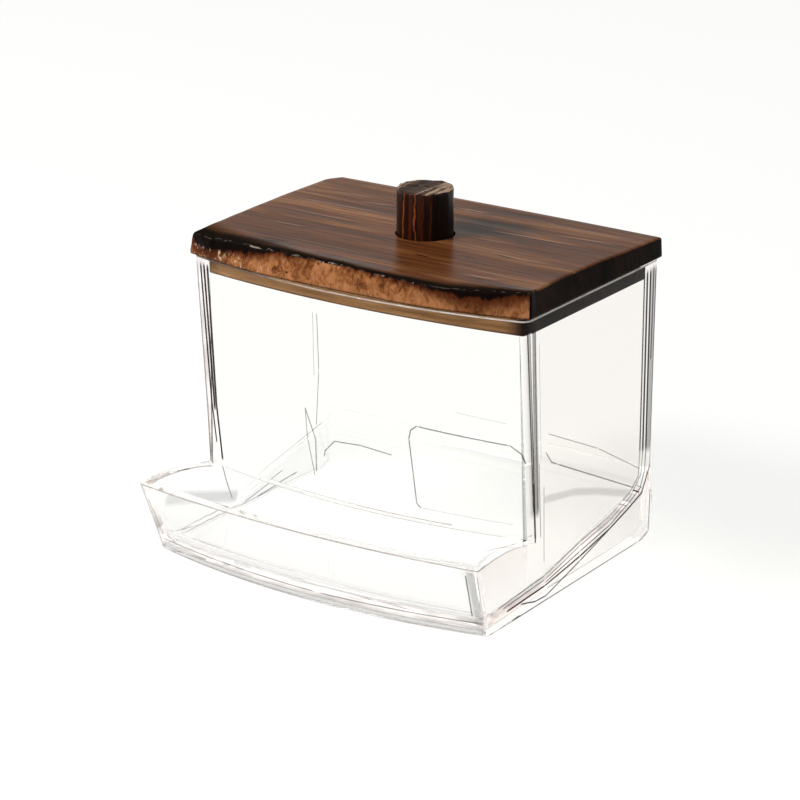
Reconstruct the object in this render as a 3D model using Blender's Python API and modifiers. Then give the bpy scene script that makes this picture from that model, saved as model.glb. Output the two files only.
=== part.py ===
"""Cotton swab dispenser: a clear moulded box with a serving tray, and a lift-off wooden lid.

The box is one moulding. Swabs drop onto the sloping floor behind the front wall, roll under
that wall and come to rest in the open tray. The lid is two boards and a short dowel for a knob.
Lengths are in metres, +Z is up, the tray faces -Y, and the origin is on the table under the
middle of the whole object.
"""
import math
from collections import namedtuple

import bmesh
import bpy
from mathutils import Matrix

# Clear moulding
BODY_WIDTH = 0.0900
RIM_HEIGHT = 0.0677
RIM_DEPTH = 0.0570
SIDE_WALL = 0.0025
FRONT_WALL = 0.0025
BACK_WALL = 0.0025
FRONT_DRAFT_SHARE = 0.073
BACK_DRAFT_SHARE = 0.006
FRONT_BOW = 0.0060
BACK_BOW = 0.0006
BODY_CORNER = 0.0018
CHAMBER_CORNER = 0.0009

# Serving tray and the foot that runs round it
TRAY_MOUTH = 0.0205
TRAY_LEAN = 0.0063
TRAY_RIM_HEIGHT = 0.0178
TRAY_RIM_CROWN = 0.0013
TRAY_RIM_BOW = 0.0034
FOOT_BOW = 0.0057
TRAY_WALL = 0.0026
TRAY_CORNER = 0.0007
TRAY_FLARE = 0.0012
TRAY_FLOOR_FILLET = 0.0022
FIN_CORNER = 0.0040

# Sloping floor, level floor and the gap that the swabs roll through
SLOT_EDGE_HEIGHT = 0.0162
SHOULDER_HEIGHT = 0.0155
RAMP_HEIGHT = 0.0107
RAMP_START = 0.0050
RAMP_SLOPE_SHARE = 0.229
BEND_DROP = 0.0061
FLOOR_LIFT = 0.0012
FLOOR_THICKNESS = 0.0026

# Lid boards and knob
LID_OVERHANG = 0.0005
LID_THICKNESS = 0.0055
LID_CORNER = 0.0010
LID_EDGE_ROUND = 0.0006
PLUG_DEPTH = 0.0045
PLUG_EDGE_ROUND = 0.0004
KNOB_DIAMETER = 0.0132
KNOB_RISE = 0.0108
KNOB_EDGE_ROUND = 0.0006
KNOB_FORWARD = 0.0003

# Clearances and cutting overrun
SEAT_GAP = 0.0003
PLUG_CLEARANCE = 0.0004
KNOB_CLEARANCE = 0.0003
OVERRUN = 0.0060
WELD_DISTANCE = 0.000002

# Counts of segments
BOW_SEGMENTS = 20
CORNER_SEGMENTS = 5
BEND_SEGMENTS = 8
RIM_SEGMENTS = 8
KNOB_SIDES = 48
FLARE_STEPS = 4

# Places worked out from the sizes above
TRAY_REACH = RIM_DEPTH + TRAY_MOUTH
FOOT_REACH = TRAY_REACH - TRAY_LEAN
BACK_PLANE = (TRAY_REACH + TRAY_RIM_BOW - LID_OVERHANG - BACK_BOW) / 2
RIM_FRONT = BACK_PLANE - RIM_DEPTH
LID_BOTTOM = RIM_HEIGHT + SEAT_GAP
LID_TOP = LID_BOTTOM + LID_THICKNESS
LID_MIDDLE = BACK_PLANE - RIM_DEPTH / 2 - KNOB_FORWARD

# A point of a side outline: where it lies at the side wall, how far the middle of the
# moulding stands behind it (negative is forward), and the corner radius it turns with
# (positive for a face that looks back, negative for one that looks forward).
EdgePoint = namedtuple("EdgePoint", "y z bow corner")


def clear_scene():
    """Remove every object that the scene starts with."""
    for item in list(bpy.data.objects):
        bpy.data.objects.remove(item, do_unlink=True)


def make_collection(name):
    """Return a new collection linked to the scene."""
    collection = bpy.data.collections.new(name)
    bpy.context.scene.collection.children.link(collection)
    return collection


def make_material(name, colour, roughness, metallic=0.0, transmission=0.0):
    """Return a Principled material; colour is linear red, green, blue."""
    material = bpy.data.materials.new(name)
    material.use_nodes = True
    shader = material.node_tree.nodes["Principled BSDF"]
    shader.inputs["Base Color"].default_value = (*colour, 1.0)
    shader.inputs["Roughness"].default_value = roughness
    shader.inputs["Metallic"].default_value = metallic
    shader.inputs["Transmission Weight"].default_value = transmission
    return material


def front_face(height):
    """Return how far behind the origin the box's front face lies at a height (at its corners)."""
    return RIM_FRONT + FRONT_DRAFT_SHARE * (RIM_HEIGHT - height)


def back_face(height):
    """Return where the box's back face lies at a height (at its corners)."""
    return BACK_PLANE - BACK_DRAFT_SHARE * (RIM_HEIGHT - height)


def tray_face(height):
    """Return where the tray's leaning front face lies at a height (at its corners)."""
    lean_share = height / TRAY_RIM_HEIGHT
    return BACK_PLANE - FOOT_REACH - TRAY_LEAN * lean_share


def tray_bow(height):
    """Return how far forward the middle of the tray's front face stands at a height."""
    lean_share = height / TRAY_RIM_HEIGHT
    return FOOT_BOW + (TRAY_RIM_BOW - FOOT_BOW) * lean_share


def tray_spread(y, z):
    """Return how far a place in the side view stands out sideways as the tray flares forward."""
    wall_y = front_face(z)
    forward_share = max(0.0, (wall_y - y) / (wall_y - tray_face(TRAY_RIM_HEIGHT)))
    return TRAY_FLARE * forward_share * max(0.0, z / TRAY_RIM_HEIGHT)


def flare_stations():
    """Return the places along the depth where the flaring sides of the tray bend."""
    joint_y = front_face(SHOULDER_HEIGHT)
    run = joint_y - tray_face(TRAY_RIM_HEIGHT)
    return [joint_y - run * step / FLARE_STEPS for step in range(FLARE_STEPS)]


def arc(centre_y, centre_z, radius, start, end, segments, bow=0.0, corner=0.0):
    """Return edge points round an arc; angles are in degrees from +Y towards +Z."""
    points = []
    for index in range(segments + 1):
        angle = math.radians(start + (end - start) * index / segments)
        points.append(EdgePoint(centre_y + radius * math.cos(angle),
                                centre_z + radius * math.sin(angle), bow, corner))
    return points


def bent_floor(lift, back_y, back_top, bow):
    """Return edge points from the back wall down the bend and the ramp to the level floor.

    lift is how far the line lies above the floor's underside, measured square to the ramp;
    back_y is where the line leaves the back wall, back_top the height where it does.
    """
    slope = math.atan(RAMP_SLOPE_SHARE)
    square_up = lift / math.cos(slope)
    start = EdgePoint(BACK_PLANE - RAMP_START, RAMP_HEIGHT + square_up, bow, 0.0)
    points = [EdgePoint(back_y, back_top, BACK_BOW, BODY_CORNER)]
    for index in range(1, BEND_SEGMENTS):
        share = index / BEND_SEGMENTS
        ease = (1 - share) ** 2
        fall = share ** 2
        lean = 2 * share * (1 - share)
        knee_z = start.z + RAMP_SLOPE_SHARE * (back_y - start.y)
        points.append(EdgePoint(ease * back_y + lean * back_y + fall * start.y,
                                ease * back_top + lean * knee_z + fall * start.z,
                                BACK_BOW * (1 - share), BODY_CORNER * (1 - share)))
    points.append(start)
    floor_z = FLOOR_LIFT + lift
    run = (start.z - floor_z) / RAMP_SLOPE_SHARE
    points.append(EdgePoint(start.y - run, floor_z, bow, 0.0))
    return points


def body_outline():
    """Return the side outline of the moulding, from the back rim round to the front rim."""
    points = [EdgePoint(back_face(RIM_HEIGHT), RIM_HEIGHT, BACK_BOW, BODY_CORNER)]
    bend_top = RAMP_HEIGHT + BEND_DROP
    points.append(EdgePoint(back_face(bend_top), bend_top, BACK_BOW, BODY_CORNER))
    points.append(EdgePoint(back_face(RAMP_HEIGHT), RAMP_HEIGHT, 0.0, 0.0))
    points += arc(back_face(0.0) - FIN_CORNER, FIN_CORNER, FIN_CORNER, 0, -90, BEND_SEGMENTS)
    points.append(EdgePoint(tray_face(0.0), 0.0, -tray_bow(0.0), -TRAY_CORNER))
    for share in (1 / 2, 1):
        height = TRAY_RIM_HEIGHT * share
        points.append(EdgePoint(tray_face(height), height, -tray_bow(height), -TRAY_CORNER))
    front = points[-1]
    joint_y = front_face(SHOULDER_HEIGHT)
    for index in range(1, RIM_SEGMENTS):
        share = index / RIM_SEGMENTS
        rise = 4 * share * (1 - share) * TRAY_RIM_CROWN
        bow = TRAY_RIM_BOW + (FRONT_BOW - TRAY_RIM_BOW) * share
        points.append(EdgePoint(front.y + (joint_y - front.y) * share,
                                front.z + (SHOULDER_HEIGHT - front.z) * share + rise,
                                -bow, -TRAY_CORNER))
    points.append(EdgePoint(joint_y, SHOULDER_HEIGHT, -FRONT_BOW, -BODY_CORNER))
    points.append(EdgePoint(front_face(RIM_HEIGHT), RIM_HEIGHT, -FRONT_BOW, -BODY_CORNER))
    return points


def hollow_outline():
    """Return the side outline of the chamber, the gap under the front wall and the tray."""
    top = RIM_HEIGHT + OVERRUN
    bend_top = RAMP_HEIGHT + BEND_DROP
    points = [EdgePoint(back_face(top) - BACK_WALL, top, BACK_BOW, CHAMBER_CORNER)]
    floor = bent_floor(FLOOR_THICKNESS, back_face(bend_top) - BACK_WALL, bend_top + BACK_WALL, 0.0)
    points += [point._replace(corner=min(point.corner, CHAMBER_CORNER)) for point in floor]
    floor_z = FLOOR_LIFT + FLOOR_THICKNESS
    inner_foot = tray_face(floor_z) + TRAY_WALL
    points.append(EdgePoint(inner_foot + TRAY_FLOOR_FILLET, floor_z, -tray_bow(floor_z), 0.0))
    for share in (1 / 3, 2 / 3):
        turn = math.radians(90 * share)
        y = inner_foot + TRAY_FLOOR_FILLET * (1 - math.sin(turn))
        z = floor_z + TRAY_FLOOR_FILLET * (1 - math.cos(turn))
        points.append(EdgePoint(y, z, -tray_bow(z), -TRAY_CORNER * share))
    for z in (floor_z + TRAY_FLOOR_FILLET, TRAY_RIM_HEIGHT + OVERRUN):
        points.append(EdgePoint(tray_face(z) + TRAY_WALL, z, -tray_bow(z), -TRAY_CORNER))
    clear_z = TRAY_RIM_HEIGHT + OVERRUN
    points.append(EdgePoint(front_face(clear_z) - FRONT_WALL, clear_z, -FRONT_BOW, 0.0))
    points.append(EdgePoint(front_face(SLOT_EDGE_HEIGHT) - FRONT_WALL / 4, SLOT_EDGE_HEIGHT,
                            -FRONT_BOW, 0.0))
    for z in (SLOT_EDGE_HEIGHT, top):
        points.append(EdgePoint(front_face(z) + FRONT_WALL, z, -FRONT_BOW, -CHAMBER_CORNER))
    return points


def underside_outline():
    """Return the side outline of the open space under the ramp and the level floor."""
    bend_top = RAMP_HEIGHT + BEND_DROP
    behind = BACK_PLANE + OVERRUN
    points = [EdgePoint(behind, -OVERRUN, 0.0, 0.0), EdgePoint(behind, bend_top, 0.0, 0.0)]
    points += bent_floor(0.0, back_face(bend_top), bend_top, 0.0)
    inner_foot = tray_face(0.0) + TRAY_WALL
    points.append(EdgePoint(inner_foot, FLOOR_LIFT, -FOOT_BOW, 0.0))
    points.append(EdgePoint(inner_foot, -OVERRUN, -FOOT_BOW, 0.0))
    return [point._replace(corner=0.0) for point in points]


def width_stations(half_width, corner):
    """Return the places across the width where a bowed and round-cornered face bends."""
    flat = half_width - corner
    stations = [flat * (2 * index / BOW_SEGMENTS - 1) for index in range(1, BOW_SEGMENTS)]
    for index in range(CORNER_SEGMENTS):
        turn = math.radians(90 * index / CORNER_SEGMENTS)
        place = flat + corner * math.sin(turn)
        stations += [place, -place]
    return sorted(set(stations))


def corner_inset(x, half_width, corner):
    """Return how far a round corner has turned away from its face at x."""
    past = max(0.0, abs(x) - (half_width - abs(corner)))
    return abs(corner) - math.sqrt(max(0.0, corner ** 2 - past ** 2))


def outline_mesh(name, outline, height):
    """Return a mesh of a flat outline, filled, drawn out by height to each side of its plane."""
    curve = bpy.data.curves.new(name + "_outline", "CURVE")
    curve.dimensions = "2D"
    curve.fill_mode = "BOTH"
    curve.extrude = height
    spline = curve.splines.new("POLY")
    spline.points.add(len(outline) - 1)
    for point, (u, v) in zip(spline.points, outline):
        point.co = (u, v, 0.0, 1.0)
    spline.use_cyclic_u = True
    holder = bpy.data.objects.new(name + "_outline", curve)
    bpy.context.scene.collection.objects.link(holder)
    bpy.context.view_layer.update()
    evaluated = holder.evaluated_get(bpy.context.evaluated_depsgraph_get())
    mesh = bpy.data.meshes.new_from_object(evaluated)
    mesh.name = name
    bpy.data.objects.remove(holder, do_unlink=True)
    bpy.data.curves.remove(curve)
    return mesh


def nearest_point(points, y, z):
    """Return the outline point that lies nearest to a place in the side view."""
    return min(points, key=lambda point: (point.y - y) ** 2 + (point.z - z) ** 2)


def bowed_solid(name, points, half_width, collection):
    """Return a solid drawn out across the width and then bowed and rounded at its corners.

    Args:
        name: the object's name.
        points: the EdgePoints of its side outline.
        half_width: half its width along X.
        collection: where the object goes.
    """
    mesh = outline_mesh(name, [(point.y, point.z) for point in points], half_width)
    shape = bmesh.new()
    shape.from_mesh(mesh)
    bmesh.ops.remove_doubles(shape, verts=shape.verts, dist=WELD_DISTANCE)
    across = Matrix(((0, 0, 1, 0), (1, 0, 0, 0), (0, 1, 0, 0), (0, 0, 0, 1)))
    bmesh.ops.transform(shape, matrix=across, verts=shape.verts)
    largest = max(abs(point.corner) for point in points)
    for station in width_stations(half_width, largest):
        whole = shape.verts[:] + shape.edges[:] + shape.faces[:]
        bmesh.ops.bisect_plane(shape, geom=whole, plane_co=(station, 0, 0), plane_no=(1, 0, 0))
    for station in flare_stations():
        whole = shape.verts[:] + shape.edges[:] + shape.faces[:]
        bmesh.ops.bisect_plane(shape, geom=whole, plane_co=(0, station, 0), plane_no=(0, 1, 0))
    for vertex in shape.verts:
        point = nearest_point(points, vertex.co.y, vertex.co.z)
        spread = tray_spread(vertex.co.y, vertex.co.z)
        x_share = vertex.co.x / half_width
        inset = corner_inset(vertex.co.x, half_width, point.corner)
        turned = inset if point.corner > 0 else -inset
        vertex.co.y += point.bow * (1 - x_share ** 2) - turned
        vertex.co.x += spread * x_share
    bmesh.ops.recalc_face_normals(shape, faces=shape.faces)
    shape.to_mesh(mesh)
    shape.free()
    solid = bpy.data.objects.new(name, mesh)
    collection.objects.link(solid)
    return solid


def board_outline(half_width, front, back, front_bow, back_bow, corner):
    """Return the plan outline of a board with bowed long edges and round corners."""
    outline = []
    stations = width_stations(half_width, corner)
    edge = [-half_width] + stations + [half_width]
    for x in edge:
        reach = front_bow * (1 - (x / half_width) ** 2)
        outline.append((x, front - reach + corner_inset(x, half_width, corner)))
    for x in reversed(edge):
        reach = back_bow * (1 - (x / half_width) ** 2)
        outline.append((x, back + reach - corner_inset(x, half_width, corner)))
    return outline


def make_board(name, outline, bottom, thickness, edge_round, collection):
    """Return a flat board with softened top and bottom edges."""
    mesh = outline_mesh(name, outline, thickness / 2)
    board_shape = bmesh.new()
    board_shape.from_mesh(mesh)
    bmesh.ops.remove_doubles(board_shape, verts=board_shape.verts, dist=WELD_DISTANCE)
    bmesh.ops.dissolve_limit(board_shape, angle_limit=math.radians(1), verts=board_shape.verts,
                             edges=board_shape.edges)
    bmesh.ops.recalc_face_normals(board_shape, faces=board_shape.faces)
    board_shape.to_mesh(mesh)
    board_shape.free()
    board = bpy.data.objects.new(name, mesh)
    board.location = (0.0, 0.0, bottom + thickness / 2)
    collection.objects.link(board)
    bevel = board.modifiers.new("soft edges", "BEVEL")
    bevel.width = edge_round
    bevel.segments = 1
    bevel.limit_method = "ANGLE"
    bevel.angle_limit = math.radians(60)
    return board


def make_dowel(name, radius, bottom, top, collection):
    """Return a round upright dowel centred on the lid."""
    mesh = bpy.data.meshes.new(name)
    shape = bmesh.new()
    bmesh.ops.create_cone(shape, cap_ends=True, segments=KNOB_SIDES, radius1=radius,
                          radius2=radius, depth=top - bottom)
    shape.to_mesh(mesh)
    shape.free()
    dowel = bpy.data.objects.new(name, mesh)
    dowel.location = (0.0, LID_MIDDLE, (top + bottom) / 2)
    collection.objects.link(dowel)
    return dowel


def cut(target, cutter):
    """Cut one solid out of another, exactly."""
    modifier = target.modifiers.new("cut " + cutter.name, "BOOLEAN")
    modifier.operation = "DIFFERENCE"
    modifier.solver = "EXACT"
    modifier.object = cutter
    cutter.hide_render = True
    cutter.display_type = "WIRE"


def finish(part, material, smooth_angle=30):
    """Give a part its material and shade its round stretches smooth."""
    part.data.materials.append(material)
    part.data.shade_smooth()
    part.data.set_sharp_from_angle(angle=math.radians(smooth_angle))


def make_clear_body(parts, cutters):
    """Make the clear moulding: box, sloping floor, serving tray and side fins."""
    body = bowed_solid("clear_body", body_outline(), BODY_WIDTH / 2, parts)
    inner_half = BODY_WIDTH / 2 - SIDE_WALL
    cut(body, bowed_solid("hollow_cutter", hollow_outline(), inner_half, cutters))
    cut(body, bowed_solid("underside_cutter", underside_outline(), inner_half, cutters))
    finish(body, make_material("clear_acrylic", (0.93, 0.94, 0.95), 0.04, transmission=1.0))
    return body


def make_lid_board(parts, cutters):
    """Make the lid's top board, with the hole that the knob is glued into."""
    outline = board_outline(BODY_WIDTH / 2 + LID_OVERHANG, RIM_FRONT - LID_OVERHANG,
                            BACK_PLANE + LID_OVERHANG, FRONT_BOW, BACK_BOW, LID_CORNER)
    board = make_board("lid_board", outline, LID_BOTTOM, LID_THICKNESS, LID_EDGE_ROUND, parts)
    hole = make_dowel("knob_hole_cutter", KNOB_DIAMETER / 2 + KNOB_CLEARANCE,
                      LID_BOTTOM - OVERRUN, LID_TOP + OVERRUN, cutters)
    cut(board, hole)
    finish(board, make_material("walnut_board", (0.085, 0.032, 0.014), 0.32))
    return board


def make_lid_plug(parts):
    """Make the lower board that drops inside the rim and keeps the lid in place."""
    half_width = BODY_WIDTH / 2 - SIDE_WALL - PLUG_CLEARANCE
    bottom = LID_BOTTOM - PLUG_DEPTH - SEAT_GAP
    front = front_face(bottom) + FRONT_WALL + PLUG_CLEARANCE
    back = back_face(bottom) - BACK_WALL - PLUG_CLEARANCE
    outline = board_outline(half_width, front, back, FRONT_BOW, BACK_BOW, LID_CORNER)
    plug = make_board("lid_plug", outline, bottom, PLUG_DEPTH, PLUG_EDGE_ROUND, parts)
    finish(plug, make_material("pale_walnut", (0.26, 0.12, 0.05), 0.45))
    return plug


def make_lid_knob(parts):
    """Make the short dowel that stands in the lid as its knob."""
    knob = make_dowel("lid_knob", KNOB_DIAMETER / 2, LID_BOTTOM, LID_TOP + KNOB_RISE, parts)
    bevel = knob.modifiers.new("soft edges", "BEVEL")
    bevel.width = KNOB_EDGE_ROUND
    bevel.segments = 2
    bevel.limit_method = "ANGLE"
    bevel.angle_limit = math.radians(60)
    finish(knob, make_material("streaked_walnut", (0.11, 0.035, 0.013), 0.38))
    return knob


def parent_to(parent, pieces):
    """Parent pieces to an object and leave them where they are."""
    bpy.context.view_layer.update()
    for piece in pieces:
        piece.parent = parent
        piece.matrix_parent_inverse = parent.matrix_world.inverted()


def main():
    """Build the dispenser."""
    clear_scene()
    parts = make_collection("cotton_swab_dispenser")
    cutters = make_collection("cutters")
    make_clear_body(parts, cutters)
    pieces = [make_lid_board(parts, cutters), make_lid_plug(parts), make_lid_knob(parts)]
    lid_axis = bpy.data.objects.new("lid", None)
    lid_axis.location = (0.0, LID_MIDDLE, LID_BOTTOM)
    parts.objects.link(lid_axis)
    cutter_holes = [item for item in cutters.objects if item.name == "knob_hole_cutter"]
    parent_to(lid_axis, pieces + cutter_holes)


if __name__ == "__main__":
    main()
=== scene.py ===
"""Looks of the cotton swab dispenser: clear moulding, walnut lid with a hewn edge, pale studio.

Lengths are in metres, +Z is up and the serving tray faces -Y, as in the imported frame.
"""

from __future__ import annotations

import logging
import math
from collections.abc import Callable, Mapping, Sequence
from dataclasses import dataclass, field, replace
from enum import Enum, IntEnum
from functools import partial

import bmesh
import bpy
from mathutils import Matrix, Vector, noise


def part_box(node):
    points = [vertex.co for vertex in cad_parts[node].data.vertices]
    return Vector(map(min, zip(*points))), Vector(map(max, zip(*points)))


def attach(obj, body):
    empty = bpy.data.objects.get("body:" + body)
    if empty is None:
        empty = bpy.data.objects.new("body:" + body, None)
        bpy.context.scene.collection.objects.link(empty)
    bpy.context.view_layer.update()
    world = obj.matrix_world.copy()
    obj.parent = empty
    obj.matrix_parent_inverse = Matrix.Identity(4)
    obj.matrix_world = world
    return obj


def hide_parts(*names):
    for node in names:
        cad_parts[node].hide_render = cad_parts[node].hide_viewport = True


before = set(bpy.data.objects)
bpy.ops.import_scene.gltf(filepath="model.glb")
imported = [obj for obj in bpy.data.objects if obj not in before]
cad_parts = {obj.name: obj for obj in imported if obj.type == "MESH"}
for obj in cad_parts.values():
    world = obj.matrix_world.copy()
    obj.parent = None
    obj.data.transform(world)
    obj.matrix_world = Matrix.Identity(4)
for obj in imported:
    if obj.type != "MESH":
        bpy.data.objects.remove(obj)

MM = 0.001
LOG = logging.getLogger("swab_dispenser")
BOARD_HALF_MM = 45.5
EASED = {"interpolation_type": "SMOOTHSTEP"}

AddNode = Callable[..., bpy.types.Node]
Source = bpy.types.Node | bpy.types.NodeSocket
Line = tuple[tuple[float, float], ...]


def span(low: Source | float, high: float, at_low: float = 0.0,
         at_high: float = 1.0) -> dict[str, Source | float]:
    """Give a Map Range its limits: the values it runs between and what it says at each."""
    return {"From Min": low, "From Max": high, "To Min": at_low, "To Max": at_high}


def hex_colour(code: str) -> tuple[float, float, float, float]:
    """Turn an sRGB hex value into a linear colour.

    Args:
        code: six hex digits after a number sign.

    Returns:
        Linear red, green, blue and an alpha of 1.
    """
    shares = [int(code[place:place + 2], 16) / 255 for place in (1, 3, 5)]
    linear = [s / 12.92 if s <= 0.04045 else ((s + 0.055) / 1.055) ** 2.4 for s in shares]
    return (*linear, 1.0)


def add_node(tree: bpy.types.NodeTree, kind: str, inputs: Mapping[str | int, object] | None = None,
             stops: Sequence[tuple[float, str | float]] = (), **settings: object) -> bpy.types.Node:
    """Add a node with its settings, socket values and incoming links.

    Args:
        tree: the tree that gets the node.
        kind: the node's type name, without its ShaderNode prefix.
        inputs: input socket to its value, its hex colour, or the output or node that feeds it. A node
            feeds it with the first output that its settings leave on.
        stops: a colour ramp's places, each with a hex colour or a plain grey level.
        settings: the node's own properties.

    Returns:
        The new node.
    """
    node = tree.nodes.new("ShaderNode" + kind)
    for name, value in settings.items():
        setattr(node, name, value)
    for socket, source in (inputs or {}).items():
        if isinstance(source, bpy.types.Node):
            source = next(output for output in source.outputs if output.enabled)
        if isinstance(source, bpy.types.NodeSocket):
            tree.links.new(source, node.inputs[socket])
        else:
            node.inputs[socket].default_value = hex_colour(source) if isinstance(source, str) else source
    for index, (place, tone) in enumerate(stops):
        ramp = node.color_ramp.elements
        stop = ramp[index] if index < 2 else ramp.new(place)
        stop.position = place
        stop.color = hex_colour(tone) if isinstance(tone, str) else (tone, tone, tone, 1.0)
    return node


def new_material(name: str) -> tuple[bpy.types.Material, AddNode]:
    """Make an empty node material.

    Args:
        name: the material's name.

    Returns:
        The material and what adds a node to its tree.
    """
    material = bpy.data.materials.new(name)
    material.use_nodes = True
    material.node_tree.nodes.clear()
    return material, partial(add_node, material.node_tree)


def lay_tints(add: AddNode, ground: Source, *coats: tuple[Source, str]) -> Source:
    """Lay tints over a ground colour.

    Args:
        add: what adds a node to the material's tree.
        ground: the colour underneath.
        coats: each tint, in order, with how much of it there is at a place.

    Returns:
        The colour on top.
    """
    for share, tint in coats:
        ground = add("Mix", {0: share, 6: ground, 7: tint}, data_type="RGBA")
    return ground


@dataclass(frozen=True)
class Stroke:
    """A straight line drawn on a finish: its two ends and half width in mm, and how deep its tone is."""

    start: tuple[float, float]
    end: tuple[float, float]
    half: float
    depth: float = 1.0


def strokes(*rows: tuple[float, ...]) -> tuple[Stroke, ...]:
    """Make strokes from rows of their two ends, half width and, where it isn't 1, depth."""
    return tuple(Stroke(row[0:2], row[2:4], *row[4:]) for row in rows)


def polyline(points: Line, half: float, depth: float) -> tuple[Stroke, ...]:
    """Join points, in mm, with strokes."""
    return tuple(Stroke(start, end, half, depth) for start, end in zip(points, points[1:]))


def draw_strokes(add: AddNode, place: Source, strokes: Sequence[Stroke], solid: float = 0.9) -> Source:
    """Draw strokes over a finish.

    Args:
        add: what adds a node to the material's tree.
        place: the place on the surface, in metres, its first two numbers in the strokes' plane.
        strokes: the strokes.
        solid: how much of a stroke's length is at full depth before it fades at its ends.

    Returns:
        What is a stroke's depth on it and 0 elsewhere.
    """
    total: Source | float = 0.0
    for stroke in strokes:
        start, end = Vector(stroke.start) * MM, Vector(stroke.end) * MM
        run, middle, half = end - start, (start + end) / 2, stroke.half * MM
        local = add("Mapping", {"Vector": place, "Location": (middle.x, middle.y, 0.0),
                                "Rotation": (0.0, 0.0, math.atan2(run.y, run.x)),
                                "Scale": (run.length / 2 + half, half, 1.0)}, vector_type="TEXTURE")
        sides = add("SeparateXYZ", {0: add("VectorMath", {0: local}, operation="ABSOLUTE")}).outputs
        thin = add("MapRange", {0: sides["Y"], **span(0.4, 1.4, stroke.depth, 0.0)}, **EASED)
        reach = add("MapRange", {0: sides["X"], **span(solid, 1.0, 1.0, 0.0)}, **EASED)
        drawn = add("Math", {0: thin, 1: reach}, operation="MULTIPLY")
        total = add("Math", {0: drawn, 1: total}, operation="MAXIMUM")
    return total


class SeenFrom(Enum):
    """The side of a clear face from which its lines show."""

    OUTSIDE = 0.0
    INSIDE = 1.0


@dataclass(frozen=True)
class ClearAcrylic:
    """Injection-moulded clear acrylic.

    Polished walls vanish against the light, and a wall seen edge-on goes a warm grey.
    """

    name: str = "clear_acrylic"
    face_tint: str = "#FEFEFD"
    foot_tint: str = "#F5F5F5"
    edge_tint: str = "#B4ACA6"
    grey_from: float = 0.80
    grey_to: float = 0.99
    ior: float = 1.49
    roughness: float = 0.012
    trapped_after: float = 3.5
    trapped_tones: tuple[tuple[float, str], ...] = (
        (0.0, "#A39B95"), (3.9, "#A39B95"), (5.6, "#D6D0CC"), (13.0, "#D6D0CC"), (17.0, "#9A928E"),
        (67.7, "#A0989A"))
    trapped_patch_mm: float = 7.0
    shade_tint: str = "#F7F6F4"
    flow_scale_mm: float = 22.0
    flow_depth_mm: float = 0.012
    plane: tuple[str, str] = ("Y", "Z")
    strokes: tuple[Stroke, ...] = ()
    seen_from: SeenFrom = SeenFrom.OUTSIDE
    stroke_tint: str = "#030202"
    stroke_power: float = 4.4

    def build(self) -> bpy.types.Material:
        """Build the finish.

        Returns:
            The finished material.
        """
        material, add = new_material(self.name)
        place = add("TexCoord").outputs["Object"]
        axes = add("SeparateXYZ", {"Vector": place}).outputs
        facing = add("LayerWeight", {"Blend": 0.5}).outputs["Facing"]
        tint = add("MapRange", {"Value": facing, **span(self.grey_from, self.grey_to)})
        # Painted shade: near the foot, where the floor, tray and fins lie behind each other, it is tinted a
        # little grey.
        low = add("MapRange", {"Value": axes["Z"], **span(1 * MM, 18 * MM, 1.0, 0.0)}, **EASED)
        colour = lay_tints(add, self.face_tint, (low, self.foot_tint), (tint, self.edge_tint))
        if self.strokes:
            # Painted lines: dark strokes stand in for the dark room that the thick corners and the floor's
            # edge bend into thin upright lines, and for bands of shade seen through the walls.
            flat = add("CombineXYZ", {"X": axes[self.plane[0]], "Y": axes[self.plane[1]]})
            drawn = draw_strokes(add, flat, self.strokes)
            # The other side of the face mirrors another part of the room and stays clear.
            side = add("NewGeometry").outputs["Backfacing"]
            side = add("Math", {0: side, 1: self.seen_from.value, 2: 0.5}, operation="COMPARE")
            drawn = add("Math", {0: drawn, 1: side}, operation="MULTIPLY")
            kept = add("Math", {0: 1.0, 1: drawn}, operation="SUBTRACT")
            kept = add("Math", {0: kept, 1: self.stroke_power}, operation="POWER")
            colour = lay_tints(add, self.stroke_tint, (kept, colour))
        # The melt's slow flow leaves long shallow waves in the walls.
        flow = add("TexNoise", {"Vector": place, "Scale": 1 / (self.flow_scale_mm * MM), "Detail": 1.0})
        ripple = add("Bump", {"Height": flow, "Strength": 0.4, "Distance": self.flow_depth_mm * MM})
        # A painted glow: light that stays trapped in a wall's thickness is given out as a warm grey
        # emission.
        path = add("LightPath").outputs
        trapped = add("Math", {0: path["Glossy Depth"], 1: self.trapped_after}, operation="GREATER_THAN")
        top = self.trapped_tones[-1][0]
        level = add("MapRange", {"Value": axes["Z"], **span(0.0, top * MM)})
        leak = add("ValToRGB", {"Fac": level}, [(height / top, tone) for height, tone in self.trapped_tones])
        patch = add("TexNoise", {"Vector": place, "Scale": 1 / (self.trapped_patch_mm * MM), "Detail": 1.0})
        strength = add("MapRange", {"Value": patch, **span(0.36, 0.64, 0.68, 1.12)})
        strength = add("Math", {0: strength, 1: trapped}, operation="MULTIPLY")
        clear = add("BsdfPrincipled", {"Base Color": colour, "Normal": ripple, "Emission Color": leak,
                                       "Emission Strength": strength, "IOR": self.ior,
                                       "Transmission Weight": 1.0, "Roughness": self.roughness})
        # Lamps reach what stands inside and under the box, as they do through the real walls.
        lit = add("BsdfTransparent", {"Color": self.shade_tint})
        surface = add("MixShader", {0: path["Is Shadow Ray"], 1: clear, 2: lit})
        add("OutputMaterial", {"Surface": surface})
        return material


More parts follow.
